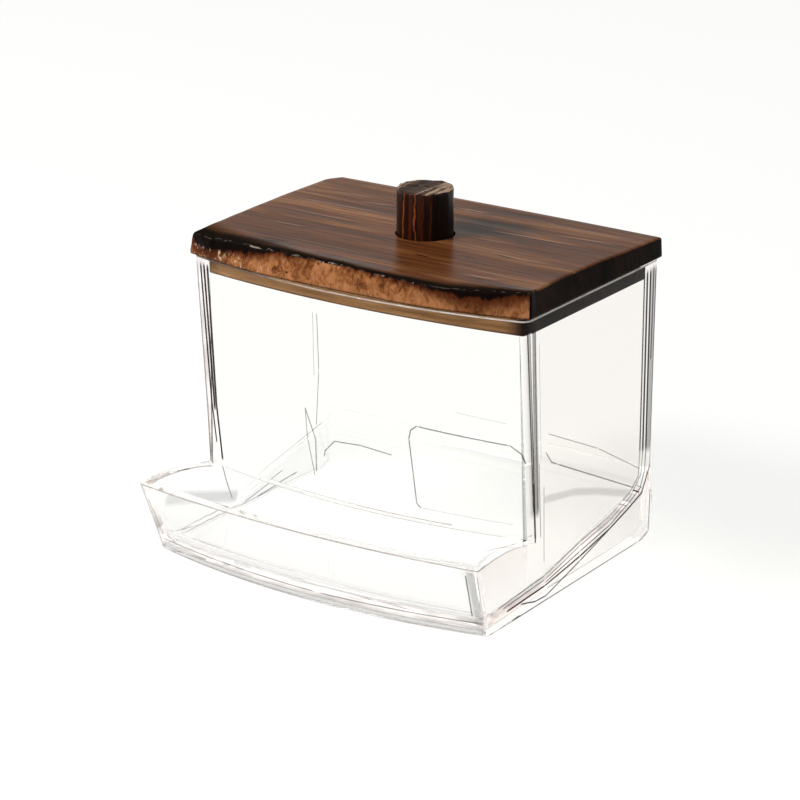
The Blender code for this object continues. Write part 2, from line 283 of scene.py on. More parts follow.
@dataclass(frozen=True)
class PolishedRim:
    """The flame-polished rim of the moulding, painted pale as a highlight where it catches the light as a
    thin line.
    """

    name: str = "polished_rim"
    tint: str = "#F4EBE3"
    streak_tint: str = "#6E5A4C"
    roughness: float = 0.25
    transmission: float = 0.35
    grain_mm: float = 1.2

    def build(self) -> bpy.types.Material:
        """Build the finish.

        Returns:
            The finished material.
        """
        material, add = new_material(self.name)
        place = add("TexCoord").outputs["Object"]
        melt = add("TexNoise", {"Vector": place, "Scale": 1 / (self.grain_mm * 4 * MM), "Detail": 2.0})
        axes = add("SeparateXYZ", {"Vector": place}).outputs
        across = add("MapRange", {"Value": axes["X"], **span(-45 * MM, 45 * MM)})
        # Painted light: brown at one side stands in for the lid showing through, and the pale tint at the
        # other is a painted highlight where the lamps catch it.
        colour = add("ValToRGB", {"Fac": across}, stops=((0.0, "#7B6556"), (0.2, "#8F7868"),
                                                         (0.45, "#CBB9AB"), (0.8, self.tint)))
        streak = add("MapRange", {"Value": melt, **span(0.35, 0.6, 0.35, 0.0)})
        colour = lay_tints(add, colour, (streak, self.streak_tint))
        shader = add("BsdfPrincipled", {"Base Color": colour, "IOR": 1.49,
                                        "Transmission Weight": self.transmission,
                                        "Roughness": self.roughness})
        add("OutputMaterial", {"Surface": shader})
        return material


@dataclass(frozen=True)
class LacqueredWalnut:
    """Oiled walnut under a thin clear coat, sanded smooth along the grain.

    Long fine grain runs across the width, pale and dark bands cloud it, short pores and a few drying
    checks break it, and the coat mirrors the room softly. Painted pale glints, painted shadow patches
    and a painted highlight along the crest lie over it.
    """

    name: str = "lacquered_walnut"
    deep: str = "#1C0D06"
    dark: str = "#482814"
    middle: str = "#64391D"
    light: str = "#9A6A40"
    smoke: str = "#120B07"
    check_tint: str = "#1D0E08"
    glint_tint: str = "#B08A70"
    flake_tint: str = "#D6C6B6"
    cloud_mm: float = 14.0
    grain_mm: float = 0.55
    pore_mm: float = 0.35
    shine: float = 0.020
    shine_tint: str = "#FFD9B8"
    roughness: float = 0.20
    checks: tuple[Stroke, ...] = strokes((-41, 9.4, -12, 8.6, 0.3), (-34, -1.6, -21, -0.9, 0.24),
        (-29.5, -12.9, -20, -12.2, 0.3), (-27, -14.2, -22, -13.9, 0.3), (22, 5.6, 29, 4.9, 0.32),
        (16.5, 0.4, 21.5, 0, 0.3), (7.5, -4.2, 12, -4.8, 0.3), (14, 20.9, 38, 21.4, 0.24, 0.8),
        (8, 13.2, 16, 13.4, 0.24, 0.8), (-40, 26.2, -20, 27.4, 0.22, 0.6),
        (-44, 17.9, -16, 18.6, 0.22, 0.6), (-30, 29.6, -10, 30.6, 0.24, 0.6),
        (-8, 33.2, 12, 33, 0.24, 0.6), (22, 25.4, 42, 28, 0.24, 0.7), (10, 30, 30, 31, 0.24, 0.6),
        (26, -12.6, 36, -11.6, 0.24, 0.8), (-20, -6, 4, -7, 0.22, 0.5), (18, -2.6, 44, -3, 0.22, 0.5))
    glints: tuple[Stroke, ...] = strokes((5, 21.4, 39.5, 22.2, 0.34), (22, 26, 42, 28.8, 0.36),
        (-7, 34, 4, 33.8, 0.34), (-45, 18.7, -14, 19.5, 0.34, 0.8), (-28, 24.8, -17, 26.4, 0.3),
        (-40, 28.4, -26, 29.6, 0.3, 0.7), (20, 33.6, 44, 34.4, 0.3, 0.6), (24, -11.2, 35, -10.4, 0.32),
        (-30, -9.2, 5, -9.9, 0.26, 0.6), (-42, 10.2, -14, 9.6, 0.3, 0.7),
        (-36, -0.6, -24, -0.2, 0.26, 0.6), (20, 6.4, 36, 6, 0.3, 0.6), (8, 14.2, 24, 15, 0.28, 0.5),
        (12, -6.6, 40, -7.4, 0.26, 0.5))
    patches: tuple[Stroke, ...] = strokes((4, 22, 16, 25, 6.5, 0.75), (-6, 36, 20, 36.5, 2.5, 0.5),
        (-44, -17, -14, -15.5, 2.6, 0.85), (-14, -16, 12, -19, 2.2, 0.6), (12, 18, 30, 18, 2, 0.4),
        (26, -16, 45, -13.5, 1.8, 0.7))

    def build(self) -> bpy.types.Material:
        """Build the finish.

        Returns:
            The finished material.
        """
        material, add = new_material(self.name)
        place = add("TexCoord").outputs["Object"]
        # The board's grain wanders a little as it runs across the lid.
        sway = add("Mapping", {"Vector": place, "Scale": (0.35, 0.5, 0.5)})
        sway = add("TexNoise", {"Vector": sway, "Scale": 1 / (16 * MM), "Detail": 2.0})
        bend = add("Math", {0: sway, 1: 5.0 * MM, 2: -2.5 * MM}, operation="MULTIPLY_ADD")
        bent = add("CombineXYZ", {"Y": bend})
        bent = add("VectorMath", {0: place, 1: bent}, operation="ADD")
        long_way = add("Mapping", {"Vector": bent, "Scale": (0.10, 1.0, 1.0)})
        clouds = add("TexNoise", {"Vector": long_way, "Scale": 1 / (self.cloud_mm * 0.45 * MM),
                                  "Detail": 3.0, "Roughness": 0.55})
        fine_way = add("Mapping", {"Vector": bent, "Scale": (0.035, 1.0, 1.0)})
        grain = add("TexNoise", {"Vector": fine_way, "Scale": 1 / (self.grain_mm * 2.2 * MM),
                                 "Detail": 5.0, "Roughness": 0.65, "Lacunarity": 2.2})
        figure = add("Mix", {0: 0.42, 2: clouds, 3: grain})
        colour = add("ValToRGB", {"Fac": figure}, stops=((0.26, self.deep), (0.40, self.dark),
                                                         (0.52, self.middle), (0.68, self.light)))
        # Short open pores, drawn a little wider than real ones so that they show.
        pore_way = add("Mapping", {"Vector": bent, "Scale": (0.07, 1.0, 1.0)})
        pores = add("TexVoronoi", {"Vector": pore_way, "Scale": 1 / (self.pore_mm * 3.2 * MM),
                                   "Randomness": 1.0})
        pore = add("MapRange", {"Value": pores, **span(0.10, 0.26, 0.55, 0.0)})
        drift = add("VectorMath", {0: sway.outputs["Color"], 1: (3.0 * MM, 3.0 * MM, 0.0),
                                   2: (-1.5 * MM, -1.5 * MM, 0.0)}, operation="MULTIPLY_ADD")
        drift = add("VectorMath", {0: place, 1: drift}, operation="ADD")
        check = draw_strokes(add, drift, self.checks, 0.3)
        # Painted glints: pale strokes stand in for highlights on raised grain.
        glint = draw_strokes(add, drift, self.glints, 0.2)
        # Painted shadow: dark patches, the knob's shadow among them, broken up along the grain.
        shadow = draw_strokes(add, drift, self.patches, 0.3)
        shadow = add("Math", {0: shadow, 1: self.broken(add, bent)}, operation="MULTIPLY")
        glint = add("Math", {0: glint, 1: 0.6}, operation="MULTIPLY")
        # Behind the singed crest the top is darkened to a smoky grey brown, partly by smoky wood and partly
        # as painted shade.
        shore = add("Attribute", attribute_name="shore").outputs["Fac"]
        smoke = add("Math", {0: clouds, 1: 1.8, 2: 0.55}, operation="MULTIPLY_ADD")
        smoke = add("Math", {0: smoke, 1: shore}, operation="MULTIPLY", use_clamp=True)
        # Painted highlights: pale specks along the crest's ridge where it catches the light.
        ridge = add("Attribute", attribute_name="crest").outputs["Fac"]
        ridge = add("MapRange", {"Value": ridge, **span(0.58, 0.80)}, **EASED)
        flake = add("TexNoise", {"Vector": place, "Scale": 1 / (1.8 * MM), "Detail": 4.0,
                                 "Roughness": 0.7})
        flake = add("MapRange", {"Value": flake, **span(0.50, 0.58, 0.0, 0.55)}, **EASED)
        flake = add("Math", {0: flake, 1: ridge}, operation="MULTIPLY")
        tone = lay_tints(add, colour, (pore, self.deep), (shadow, self.smoke), (check, self.check_tint),
                         (glint, self.glint_tint), (smoke, self.smoke), (flake, self.flake_tint))
        height = add("Math", {0: check, 1: -1.2, 2: grain}, operation="MULTIPLY_ADD")
        swell = add("Math", {0: clouds, 1: 5.0, 2: height}, operation="MULTIPLY_ADD")
        relief = add("Bump", {"Height": swell, "Strength": 0.55, "Distance": 0.10 * MM})
        gloss = add("MapRange", {"Value": grain,
                                 **span(0.0, 1.0, self.roughness - 0.05, self.roughness + 0.12)})
        gloss = add("Mix", {0: smoke, 2: gloss, 3: 0.95})
        shader = add("BsdfPrincipled", {"Base Color": tone, "Roughness": gloss, "Normal": relief,
                                        "Specular IOR Level": self.shine,
                                        "Specular Tint": self.shine_tint})
        add("OutputMaterial", {"Surface": shader})
        return material

    @staticmethod
    def broken(add: AddNode, bent: Source) -> Source:
        """Break the painted shadow patches up along the grain.

        Args:
            add: what adds a node to the material's tree.
            bent: the place along the wandering grain.

        Returns:
            What goes from 0 to 1 in long streaks.
        """
        long_way = add("Mapping", {"Vector": bent, "Scale": (0.12, 1.0, 1.0)})
        streaks = add("TexNoise", {"Vector": long_way, "Scale": 1 / (2.6 * MM), "Detail": 4.0,
                                   "Roughness": 0.6})
        return add("MapRange", {"Value": streaks, **span(0.30, 0.55)})


@dataclass(frozen=True)
class HewnWalnut:
    """Walnut left as the axe split it, then singed along the crest and lacquered.

    Torn upright fibres in orange and tan, small pits, and a burnt black band that is deep at the left
    and thin towards the middle. Painted sheen on torn edges, a painted shadow line along the foot and
    painted glints along the crest lie over it.
    """

    name: str = "hewn_walnut"
    deep: str = "#2B1208"
    dark: str = "#5E3219"
    middle: str = "#88532F"
    light: str = "#A97148"
    burnt: str = "#0D0503"
    singed: str = "#4C230F"
    pit_tint: str = "#160803"
    sheen_tint: str = "#D9B79C"
    glint_tint: str = "#CBB7A6"
    fibre_mm: float = 0.42
    pit_mm: float = 4.0
    shine: float = 0.02
    roughness: float = 0.34
    burn_line: Line = (
        (-45.5, 0.70), (-43.5, 0.58), (-41.5, 0.42), (-38.5, 0.42), (-35.0, 0.50), (-30.0, 0.60),
        (-26.0, 0.68), (-23.0, 0.76), (-19.0, 0.84), (-14.0, 0.92), (-9.0, 1.0), (-4.0, 1.05),
        (1.0, 1.02), (5.0, 0.97), (10.0, 0.92), (17.0, 0.93), (22.0, 0.86), (27.0, 0.76), (31.0, 0.62),
        (36.0, 0.62), (40.0, 0.78), (45.5, 0.92))
    soft_line: Line = (
        (-45.5, 1.00), (-41.0, 1.00), (-36.0, 0.70), (-32.0, 0.40), (-20.0, 0.30), (0.0, 0.14),
        (18.0, 0.20), (28.0, 0.75), (38.0, 0.90), (45.5, 0.60))

    def build(self) -> bpy.types.Material:
        """Build the finish.

        Returns:
            The finished material.
        """
        material, add = new_material(self.name)
        place = add("TexCoord").outputs["Object"]
        axes = add("SeparateXYZ", {"Vector": place}).outputs
        height = add("Attribute", attribute_name="height").outputs["Fac"]
        crest = add("Attribute", attribute_name="crest").outputs["Fac"]
        across = add("MapRange", {"Value": axes["X"], **span(-BOARD_HALF_MM * MM, BOARD_HALF_MM * MM)})
        warp = add("TexNoise", {"Vector": place, "Scale": 1 / (1.8 * MM), "Detail": 3.0})
        warp = add("VectorMath", {0: warp.outputs["Color"], 1: (2.0 * MM, 0.0, 1.4 * MM),
                                  2: (-1.0 * MM, 0.0, -0.7 * MM)}, operation="MULTIPLY_ADD")
        torn = add("VectorMath", {0: place, 1: warp}, operation="ADD")
        upright = add("Mapping", {"Vector": torn, "Scale": (1.0, 0.5, 0.52)})
        fibres = add("TexNoise", {"Vector": upright, "Scale": 1 / (self.fibre_mm * 1.6 * MM),
                                  "Detail": 4.0, "Roughness": 0.55})
        broad = add("TexNoise", {"Vector": torn, "Scale": 1 / (4.2 * MM), "Detail": 2.0})
        figure = add("Mix", {0: 0.5, 2: fibres, 3: broad})
        colour = add("ValToRGB", {"Fac": figure}, stops=((0.36, self.dark), (0.47, self.middle),
                                                         (0.58, self.light)))
        strokes = add("TexNoise", {"Vector": upright, "Scale": 1 / (self.fibre_mm * 3.4 * MM),
                                   "Detail": 3.0, "Roughness": 0.6, "Distortion": 1.6})
        # Torn fibres leave thin dark curls between smoother flakes.
        curl = add("Math", {0: strokes, 1: 0.44}, operation="SUBTRACT")
        curl = add("Math", {0: curl}, operation="ABSOLUTE")
        curl = add("MapRange", {"Value": curl, **span(0.0, 0.012, 0.75, 0.0)}, **EASED)
        gate = add("MapRange", {"Value": broad, **span(0.50, 0.42)}, **EASED)
        stroke = add("Math", {0: curl, 1: gate}, operation="MULTIPLY")
        pits = add("TexVoronoi", {"Vector": torn, "Scale": 1 / (self.pit_mm * MM), "Randomness": 1.0})
        pit = add("MapRange", {"Value": pits, **span(0.06, 0.13, 0.9, 0.0)}, **EASED)
        # The burn follows the crest: above its line the wood is charred, and it fades out below.
        line = add("ValToRGB", {"Fac": across}, stops=self.grey_stops(self.burn_line))
        fade = add("ValToRGB", {"Fac": across}, stops=self.grey_stops(self.soft_line))
        lick = add("TexNoise", {"Vector": upright, "Scale": 1 / (1.6 * MM), "Detail": 4.0,
                                "Roughness": 0.65})
        lick = add("Math", {0: lick, 1: 0.60, 2: -0.30}, operation="MULTIPLY_ADD")
        over = add("Math", {0: height, 1: line}, operation="SUBTRACT")
        over = add("Math", {0: over, 1: lick}, operation="ADD")
        under = add("Math", {0: fade, 1: -1.0}, operation="MULTIPLY")
        singe = add("MapRange", {"Value": over, **span(under, 0.04)}, **EASED)
        burn = add("MapRange", {"Value": over, **span(-0.02, 0.10)}, **EASED)
        # Painted sheen: pale flecks stand in for the lacquer catching the light on torn edges, most at the
        # left.
        sheen = add("TexNoise", {"Vector": upright, "Scale": 1 / (0.9 * MM), "Detail": 2.0,
                                 "Distortion": 1.5})
        sheen = add("MapRange", {"Value": sheen, **span(0.60, 0.66)}, **EASED)
        place_left = add("MapRange", {"Value": axes["X"], **span(-14 * MM, -34 * MM, 0.10, 0.75)},
                         **EASED)
        sheen = add("Math", {0: sheen, 1: place_left}, operation="MULTIPLY")
        below = add("MapRange", {"Value": height, **span(0.62, 0.40)}, **EASED)
        sheen = add("Math", {0: sheen, 1: below}, operation="MULTIPLY")
        # Painted shadow: a dark line where the face meets the board's underside.
        foot = add("MapRange", {"Value": height, **span(0.03, 0.13, 0.85, 0.0)}, **EASED)
        # Painted highlights: pale glints along the crest where it catches the light.
        rub = add("TexNoise", {"Vector": place, "Scale": 1 / (2.4 * MM), "Detail": 4.0, "Roughness": 0.7})
        rub = add("MapRange", {"Value": rub, **span(0.50, 0.60, 0.0, 0.6)}, **EASED)
        ridge = add("MapRange", {"Value": crest, **span(0.80, 0.94)}, **EASED)
        glint = add("Math", {0: rub, 1: ridge}, operation="MULTIPLY")
        tone = lay_tints(add, colour, (stroke, self.deep), (pit, self.pit_tint), (singe, self.singed),
                         (burn, self.burnt), (sheen, self.sheen_tint), (foot, self.pit_tint),
                         (glint, self.glint_tint))
        rough = add("Math", {0: fibres, 1: 0.35, 2: self.roughness - 0.18}, operation="MULTIPLY_ADD")
        bumps = add("Math", {0: fibres, 1: stroke}, operation="SUBTRACT")
        relief = add("Bump", {"Height": bumps, "Strength": 0.8, "Distance": 0.28 * MM})
        shader = add("BsdfPrincipled", {"Base Color": tone, "Roughness": rough, "Normal": relief,
                                        "Specular IOR Level": self.shine})
        add("OutputMaterial", {"Surface": shader})
        return material

    @staticmethod
    def grey_stops(line: Line) -> Line:
        """Turn a line over the width, in mm, into grey ramp stops."""
        return tuple(((place + BOARD_HALF_MM) / (2 * BOARD_HALF_MM), level) for place, level in line)


@dataclass(frozen=True)
class PlanedWalnut:
    """Pale tan walnut, planed smooth, with level grain.

    Painted shade darkens it: a dark line along its foot, the top of the face where the board above
    shades it, and the face towards its ends, most at the right.
    """

    bottom: float
    top: float
    name: str = "planed_walnut"
    dark: str = "#7A5230"
    middle: str = "#A0754C"
    light: str = "#B98C60"
    stain: str = "#2E1A0E"
    grain_mm: float = 0.5
    shine: float = 0.05
    roughness: float = 0.4

    def build(self) -> bpy.types.Material:
        """Build the finish.

        Returns:
            The finished material.
        """
        material, add = new_material(self.name)
        place = add("TexCoord").outputs["Object"]
        axes = add("SeparateXYZ", {"Vector": place}).outputs
        drawn = add("Mapping", {"Vector": place, "Scale": (0.06, 0.5, 1.0)})
        grain = add("TexNoise", {"Vector": drawn, "Scale": 1 / (self.grain_mm * 2 * MM), "Detail": 5.0,
                                 "Roughness": 0.6})
        cloud = add("TexNoise", {"Vector": drawn, "Scale": 1 / (6 * MM), "Detail": 2.0})
        figure = add("Mix", {0: 0.5, 2: grain, 3: cloud})
        colour = add("ValToRGB", {"Fac": figure}, stops=((0.36, self.dark), (0.50, self.middle),
                                                         (0.64, self.light)))
        # Painted shade: a dark line along the foot, and darker at the top where the board above shades it.
        level = add("MapRange", {"Value": axes["Z"], **span(self.bottom, self.top)})
        soak = add("ValToRGB", {"Fac": level}, stops=((0.0, 0.8), (0.07, 0.7), (0.13, 0.0), (0.66, 0.0),
                                                      (0.84, 0.45), (0.96, 0.75)))
        # Painted shade towards the ends, fully at the right, away from the lamps.
        end = add("MapRange", {"Value": axes["X"], **span(37.0 * MM, 42.0 * MM)}, **EASED)
        near = add("MapRange", {"Value": axes["X"], **span(-37.0 * MM, -42.5 * MM, 0.0, 0.6)},
                   **EASED)
        ends = add("Math", {0: end, 1: near}, operation="MAXIMUM")
        tone = lay_tints(add, colour, (soak, self.stain), (ends, self.stain))
        relief = add("Bump", {"Height": grain, "Strength": 0.5, "Distance": 0.06 * MM})
        shader = add("BsdfPrincipled", {"Base Color": tone, "Normal": relief, "Roughness": self.roughness,
                                        "Specular IOR Level": self.shine})
        add("OutputMaterial", {"Surface": shader})
        return material


@dataclass(frozen=True)
class SawnEndGrain:
    """Walnut sawn across the grain and stained near black.

    The staining soaks into the open ends, so they drink the light, with faint upright saw streaks.
    """

    name: str = "sawn_end_grain"
    deep: str = "#0B0604"
    light: str = "#22150E"
    streak_mm: float = 1.1
    shine: float = 0.02
    roughness: float = 0.45

    def build(self) -> bpy.types.Material:
        """Build the finish.

        Returns:
            The finished material.
        """
        material, add = new_material(self.name)
        place = add("TexCoord").outputs["Object"]
        upright = add("Mapping", {"Vector": place, "Rotation": (math.radians(-24), 0.0, 0.0),
                                  "Scale": (1.0, 1.0, 0.22)})
        saw = add("TexNoise", {"Vector": upright, "Scale": 1 / (self.streak_mm * 2 * MM), "Detail": 4.0,
                               "Roughness": 0.6})
        patch = add("TexNoise", {"Vector": place, "Scale": 1 / (9 * MM), "Detail": 2.0})
        mixed = add("Mix", {0: 0.45, 2: saw, 3: patch})
        colour = add("ValToRGB", {"Fac": mixed}, stops=((0.42, self.deep), (0.62, self.light)))
        rings = add("TexVoronoi", {"Vector": place, "Scale": 1 / (0.8 * MM)})
        relief = add("Bump", {"Height": rings, "Strength": 0.5, "Distance": 0.08 * MM})
        shader = add("BsdfPrincipled", {"Base Color": colour, "Normal": relief,
                                        "Roughness": self.roughness, "Specular IOR Level": self.shine})
        add("OutputMaterial", {"Surface": shader})
        return material


@dataclass(frozen=True)
class StreakedWalnut:
    """Dark walnut split from the heartwood, with upright streaks.

    Red brown on the lit side and painted near black as shade round the other, with a few bright
    orange streaks that follow the grain down the knob.
    """

    middle_x: float
    middle_y: float
    name: str = "streaked_walnut"
    deep: str = "#120603"
    dark: str = "#250E06"
    red: str = "#451C0C"
    bright: str = "#8A4822"
    heart: str = "#080302"
    streak_mm: float = 0.6
    shine: float = 0.10
    roughness: float = 0.30
    streaks: Line = (
        (-106.0, 2.4), (-77.0, 2.8), (-62.0, 1.0), (-46.0, 1.6), (35.0, 2.4), (100.0, 2.0), (150.0, 2.6))

    def build(self) -> bpy.types.Material:
        """Build the finish.

        Returns:
            The finished material.
        """
        material, add = new_material(self.name)
        place = add("TexCoord").outputs["Object"]
        centred = add("Mapping", {"Vector": place, "Location": (-self.middle_x, -self.middle_y, 0.0)})
        axes = add("SeparateXYZ", {"Vector": centred}).outputs
        turn = add("Math", {0: axes["Y"], 1: axes["X"]}, operation="ARCTAN2")
        upright = add("Mapping", {"Vector": centred, "Scale": (1.0, 1.0, 0.05)})
        grain = add("TexNoise", {"Vector": upright, "Scale": 1 / (self.streak_mm * 2 * MM), "Detail": 5.0,
                                 "Roughness": 0.6})
        sway = add("TexNoise", {"Vector": centred, "Scale": 1 / (4.0 * MM), "Detail": 2.0})
        sway = add("Math", {0: sway, 1: math.radians(14), 2: math.radians(-7)}, operation="MULTIPLY_ADD")
        place_round = add("Math", {0: turn, 1: sway}, operation="ADD")
        colour = add("ValToRGB", {"Fac": grain}, stops=((0.38, self.deep), (0.50, self.dark),
                                                        (0.62, self.red)))
        # Painted shade: the side away from the lamps is near black.
        shade = add("Math", {0: place_round, 1: math.radians(10)}, operation="SUBTRACT")
        shade = add("Math", {0: shade}, operation="ABSOLUTE")
        shade = add("MapRange", {"Value": shade, **span(math.radians(34), math.radians(70), 0.85, 0.0)},
                    **EASED)
        total: Source | float = 0.0
        for angle, half in self.streaks:
            off = add("Math", {0: place_round, 1: math.radians(angle)}, operation="SUBTRACT")
            off = add("Math", {0: off}, operation="ABSOLUTE")
            edges = math.radians(0.2 * half), math.radians(half)
            line = add("MapRange", {"Value": off, **span(*edges, min(1.0, half / 2.4), 0.0)}, **EASED)
            total = add("Math", {0: total, 1: line}, operation="MAXIMUM")
        broken = add("TexNoise", {"Vector": centred, "Scale": 1 / (2.2 * MM), "Detail": 3.0})
        broken = add("MapRange", {"Value": broken, **span(0.32, 0.58, 0.25)})
        streak = add("Math", {0: total, 1: broken}, operation="MULTIPLY")
        tone = lay_tints(add, colour, (streak, self.bright), (shade, self.heart))
        relief = add("Bump", {"Height": grain, "Strength": 0.7, "Distance": 0.16 * MM})
        shader = add("BsdfPrincipled", {"Base Color": tone, "Normal": relief, "Roughness": self.roughness,
                                        "Specular IOR Level": self.shine})
        add("OutputMaterial", {"Surface": shader})
        return material


@dataclass(frozen=True)
class RoughSawnTop:
    """The knob's sawn top: grey brown end grain with pale torn streaks from the saw."""

    name: str = "rough_sawn_top"
    deep: str = "#24160D"
    dark: str = "#3D291B"
    pale: str = "#A68C75"
    streak_mm: float = 1.3
    shine: float = 0.05
    roughness: float = 0.5

    def build(self) -> bpy.types.Material:
        """Build the finish.

        Returns:
            The finished material.
        """
        material, add = new_material(self.name)
        place = add("TexCoord").outputs["Object"]
        drawn = add("Mapping", {"Vector": place, "Scale": (1.0, 0.07, 1.0),
                                "Rotation": (0.0, 0.0, math.radians(6))})
        saw = add("TexNoise", {"Vector": drawn, "Scale": 1 / (self.streak_mm * 1.6 * MM), "Detail": 3.0,
                               "Roughness": 0.55})
        colour = add("ValToRGB", {"Fac": saw}, stops=((0.34, self.deep), (0.48, self.dark),
                                                      (0.55, self.dark), (0.62, self.pale)))
        relief = add("Bump", {"Height": saw, "Strength": 0.9, "Distance": 0.35 * MM})
        shader = add("BsdfPrincipled", {"Base Color": colour, "Normal": relief,
                                        "Roughness": self.roughness, "Specular IOR Level": self.shine})
        add("OutputMaterial", {"Surface": shader})
        return material


def select_only(*objects: bpy.types.Object) -> None:
    """Select these objects and nothing else, and make the first one active.

    Args:
        objects: what gets selected.
    """
    bpy.ops.object.select_all(action="DESELECT")
    for piece in objects:
        piece.select_set(True)
    bpy.context.view_layer.objects.active = objects[0]


def apply_modifier(piece: bpy.types.Object, kind: str, **settings: object) -> None:
    """Add a modifier and apply it.

    Args:
        piece: the object that gets it.
        kind: the modifier's type.
        settings: its own properties.
    """
    select_only(piece)
    modifier = piece.modifiers.new(kind.lower(), kind)
    for name, value in settings.items():
        setattr(modifier, name, value)
    bpy.ops.object.modifier_apply(modifier=modifier.name)


def pick_edges(piece: bpy.types.Object, wanted: Callable[[Vector, Vector], bool]) -> None:
    """Select, in edit mode, the edges whose two ends pass a test.

    Args:
        piece: the mesh object being edited.
        wanted: takes an edge's middle and its whole run and says if it is picked.
    """
    bpy.ops.mesh.select_mode(type="EDGE")
    bpy.ops.mesh.select_all(action="DESELECT")
    shape = bmesh.from_edit_mesh(piece.data)
    for edge in shape.edges:
        first, last = (vertex.co for vertex in edge.verts)
        if wanted((first + last) / 2, last - first):
            edge.select_set(True)
    bmesh.update_edit_mesh(piece.data)


def cut_along(piece: bpy.types.Object, axis: int, cuts: int, within: tuple[float, float]) -> None:
    """Cut the long edges that run along an axis into equal lengths.

    Args:
        piece: the mesh object being edited.
        axis: 0, 1 or 2 for X, Y or Z.
        cuts: how many cuts each edge gets.
        within: the lowest and highest Y of an edge's middle that is cut.
    """
    def runs_along(middle: Vector, run: Vector) -> bool:
        """Tell if an edge is long, runs along the axis and lies in the band."""
        return (abs(run[axis]) > 0.999 * run.length and run.length > 1.2 * MM
                and within[0] <= middle.y <= within[1])
    pick_edges(piece, runs_along)
    bpy.ops.mesh.subdivide(number_cuts=cuts)


def along_line(line: Line, place: float) -> float:
    """Read a line of (place, height) points, eased between them.

    Args:
        line: the points, in order of place.
        place: where to read.

    Returns:
        The height there.
    """
    if place <= line[0][0]:
        return line[0][1]
    for (left, low), (right, high) in zip(line, line[1:]):
        if place <= right:
            share = (place - left) / (right - left)
            return low + (high - low) * share * share * (3 - 2 * share)
    return line[-1][1]


def add_plank(name: str, low: Vector, high: Vector, edge_round: float, segments: int) -> bpy.types.Object:
    """Add a plank at its size and place, with softened edges, left in edit mode.

    Args:
        name: the new object's name.
        low: its lowest corner.
        high: its highest corner.
        edge_round: how far in the softening reaches.
        segments: facets of the softening.

    Returns:
        The new object.
    """
    bpy.ops.object.select_all(action="DESELECT")
    bpy.ops.mesh.primitive_cube_add(size=1.0, location=(low + high) / 2, scale=high - low)
    bpy.ops.object.transform_apply(location=True, rotation=True, scale=True)
    plank = bpy.context.active_object
    plank.name = name
    bpy.ops.object.mode_set(mode="EDIT")
    bpy.ops.mesh.select_all(action="SELECT")
    bpy.ops.mesh.bevel(offset=edge_round, segments=segments, affect="EDGES")
    return plank


def post_lines(places: Sequence[tuple[float, ...]], bottom: float, top: float = 66.5) -> tuple[Stroke, ...]:
    """Draw upright lines, each given by its place at the top and at the bottom, half width and depth."""
    return tuple(Stroke((high, top), (low, bottom), half, depth) for high, low, half, depth in places)


# Painted lines and bands of shade for what each wall shows of the room, in mm over its own plane, and the
# painted glow of the light trapped in it by height.
WALL_TONES = ((0.0, "#A39B95"), (13.0, "#D6D0CC"), (20.0, "#E4DFDD"), (67.7, "#E8E4E3"))
RIGHT_LINES = (
    post_lines(((-16.45, -12.9, 0.14, 0.72), (-14.1, -11.6, 0.32, 0.55)), 22)
    + post_lines(((-15.3, -14.1, 0.16, 0.5),), 48)
    + strokes((-15.25, 66.5, -12.1, 22, 1.3, 0.34), (-13.3, 30, -12.3, 16.5, 0.16, 0.72),
        (-11.4, 34, -10.2, 16, 0.16, 0.4), (-12.2, 62, -10.6, 34, 0.16, 0.16),
        (-9.2, 28, -8.6, 9.5, 0.16, 0.3))
    + post_lines(((33, 33.2, 0.32, 0.66), (34.35, 34.55, 0.38, 1), (35.8, 36, 0.38, 1),
        (38.45, 38.2, 0.42, 1)), 22)
    + strokes((37.25, 66.5, 37, 44, 0.3, 0.7), (37.2, 66.5, 37.1, 22, 1, 0.3))
    + polyline(((33.2, 22.5), (32.8, 17), (29.2, 14.2), (20.2, 11.2), (6.9, 9.4), (-8, 6.4), (-28, 5.4)),
        0.16, 0.55)
    + polyline(((34.55, 22.5), (34, 17), (29.2, 12.9), (20.2, 10.2), (6.9, 8.4), (-8, 5.4), (-26, 4.6)),
        0.16, 0.62)
    + polyline(((36, 22.5), (35.7, 17.5), (33.8, 13.6), (29.2, 11.8), (20.2, 9), (7, 7), (-8, 4.6)), 0.18,
        0.72)
    + polyline(((38.2, 22.5), (38.2, 18.2), (34.6, 12.2), (29.3, 10.5), (20.3, 8.1), (7, 5.8), (-8, 3.9),
        (-24, 3.4)), 0.24, 0.95)
    + polyline(((20.2, 8), (7.1, 4.7), (-7.5, 1.3), (-12, 1.5), (-18, 3)), 0.18, 0.7)
    + strokes((33, 13, -8, 5.6, 1.6, 0.09), (-8, 5.4, -30, 4.4, 1.4, 0.12))
    + polyline(((-26, 0.25), (34, 0.25), (38.3, 1.4), (38.6, 12)), 0.16, 0.62)
    + polyline(((-8, 39.8), (14, 29.6), (33.4, 18.6)), 0.13, 0.3)
    + polyline(((-8.6, 35.6), (-6.2, 32.6), (-4.2, 31.6), (31.5, 14.4)), 0.15, 0.46)
    + polyline(((-8.5, 24.6), (4, 22.3), (14, 19.3), (29, 13.8)), 0.9, 0.12))
LEFT_LINES = (
    strokes((-28.3, 11.7, -5, 4.6, 1.5, 0.15), (-1.4, 0.4, 19.4, 3.9, 0.15, 0.5),
        (3.5, 0.2, 26, 1.6, 0.16, 0.7), (33.2, 43, 33.6, 26, 0.14, 0.3))
    + polyline(((-9.6, 13.8), (-8.2, 9.5), (-6.1, 4.4)), 0.15, 0.55)
    + polyline(((35, 42), (35.7, 27), (34.4, 13)), 0.14, 0.62))
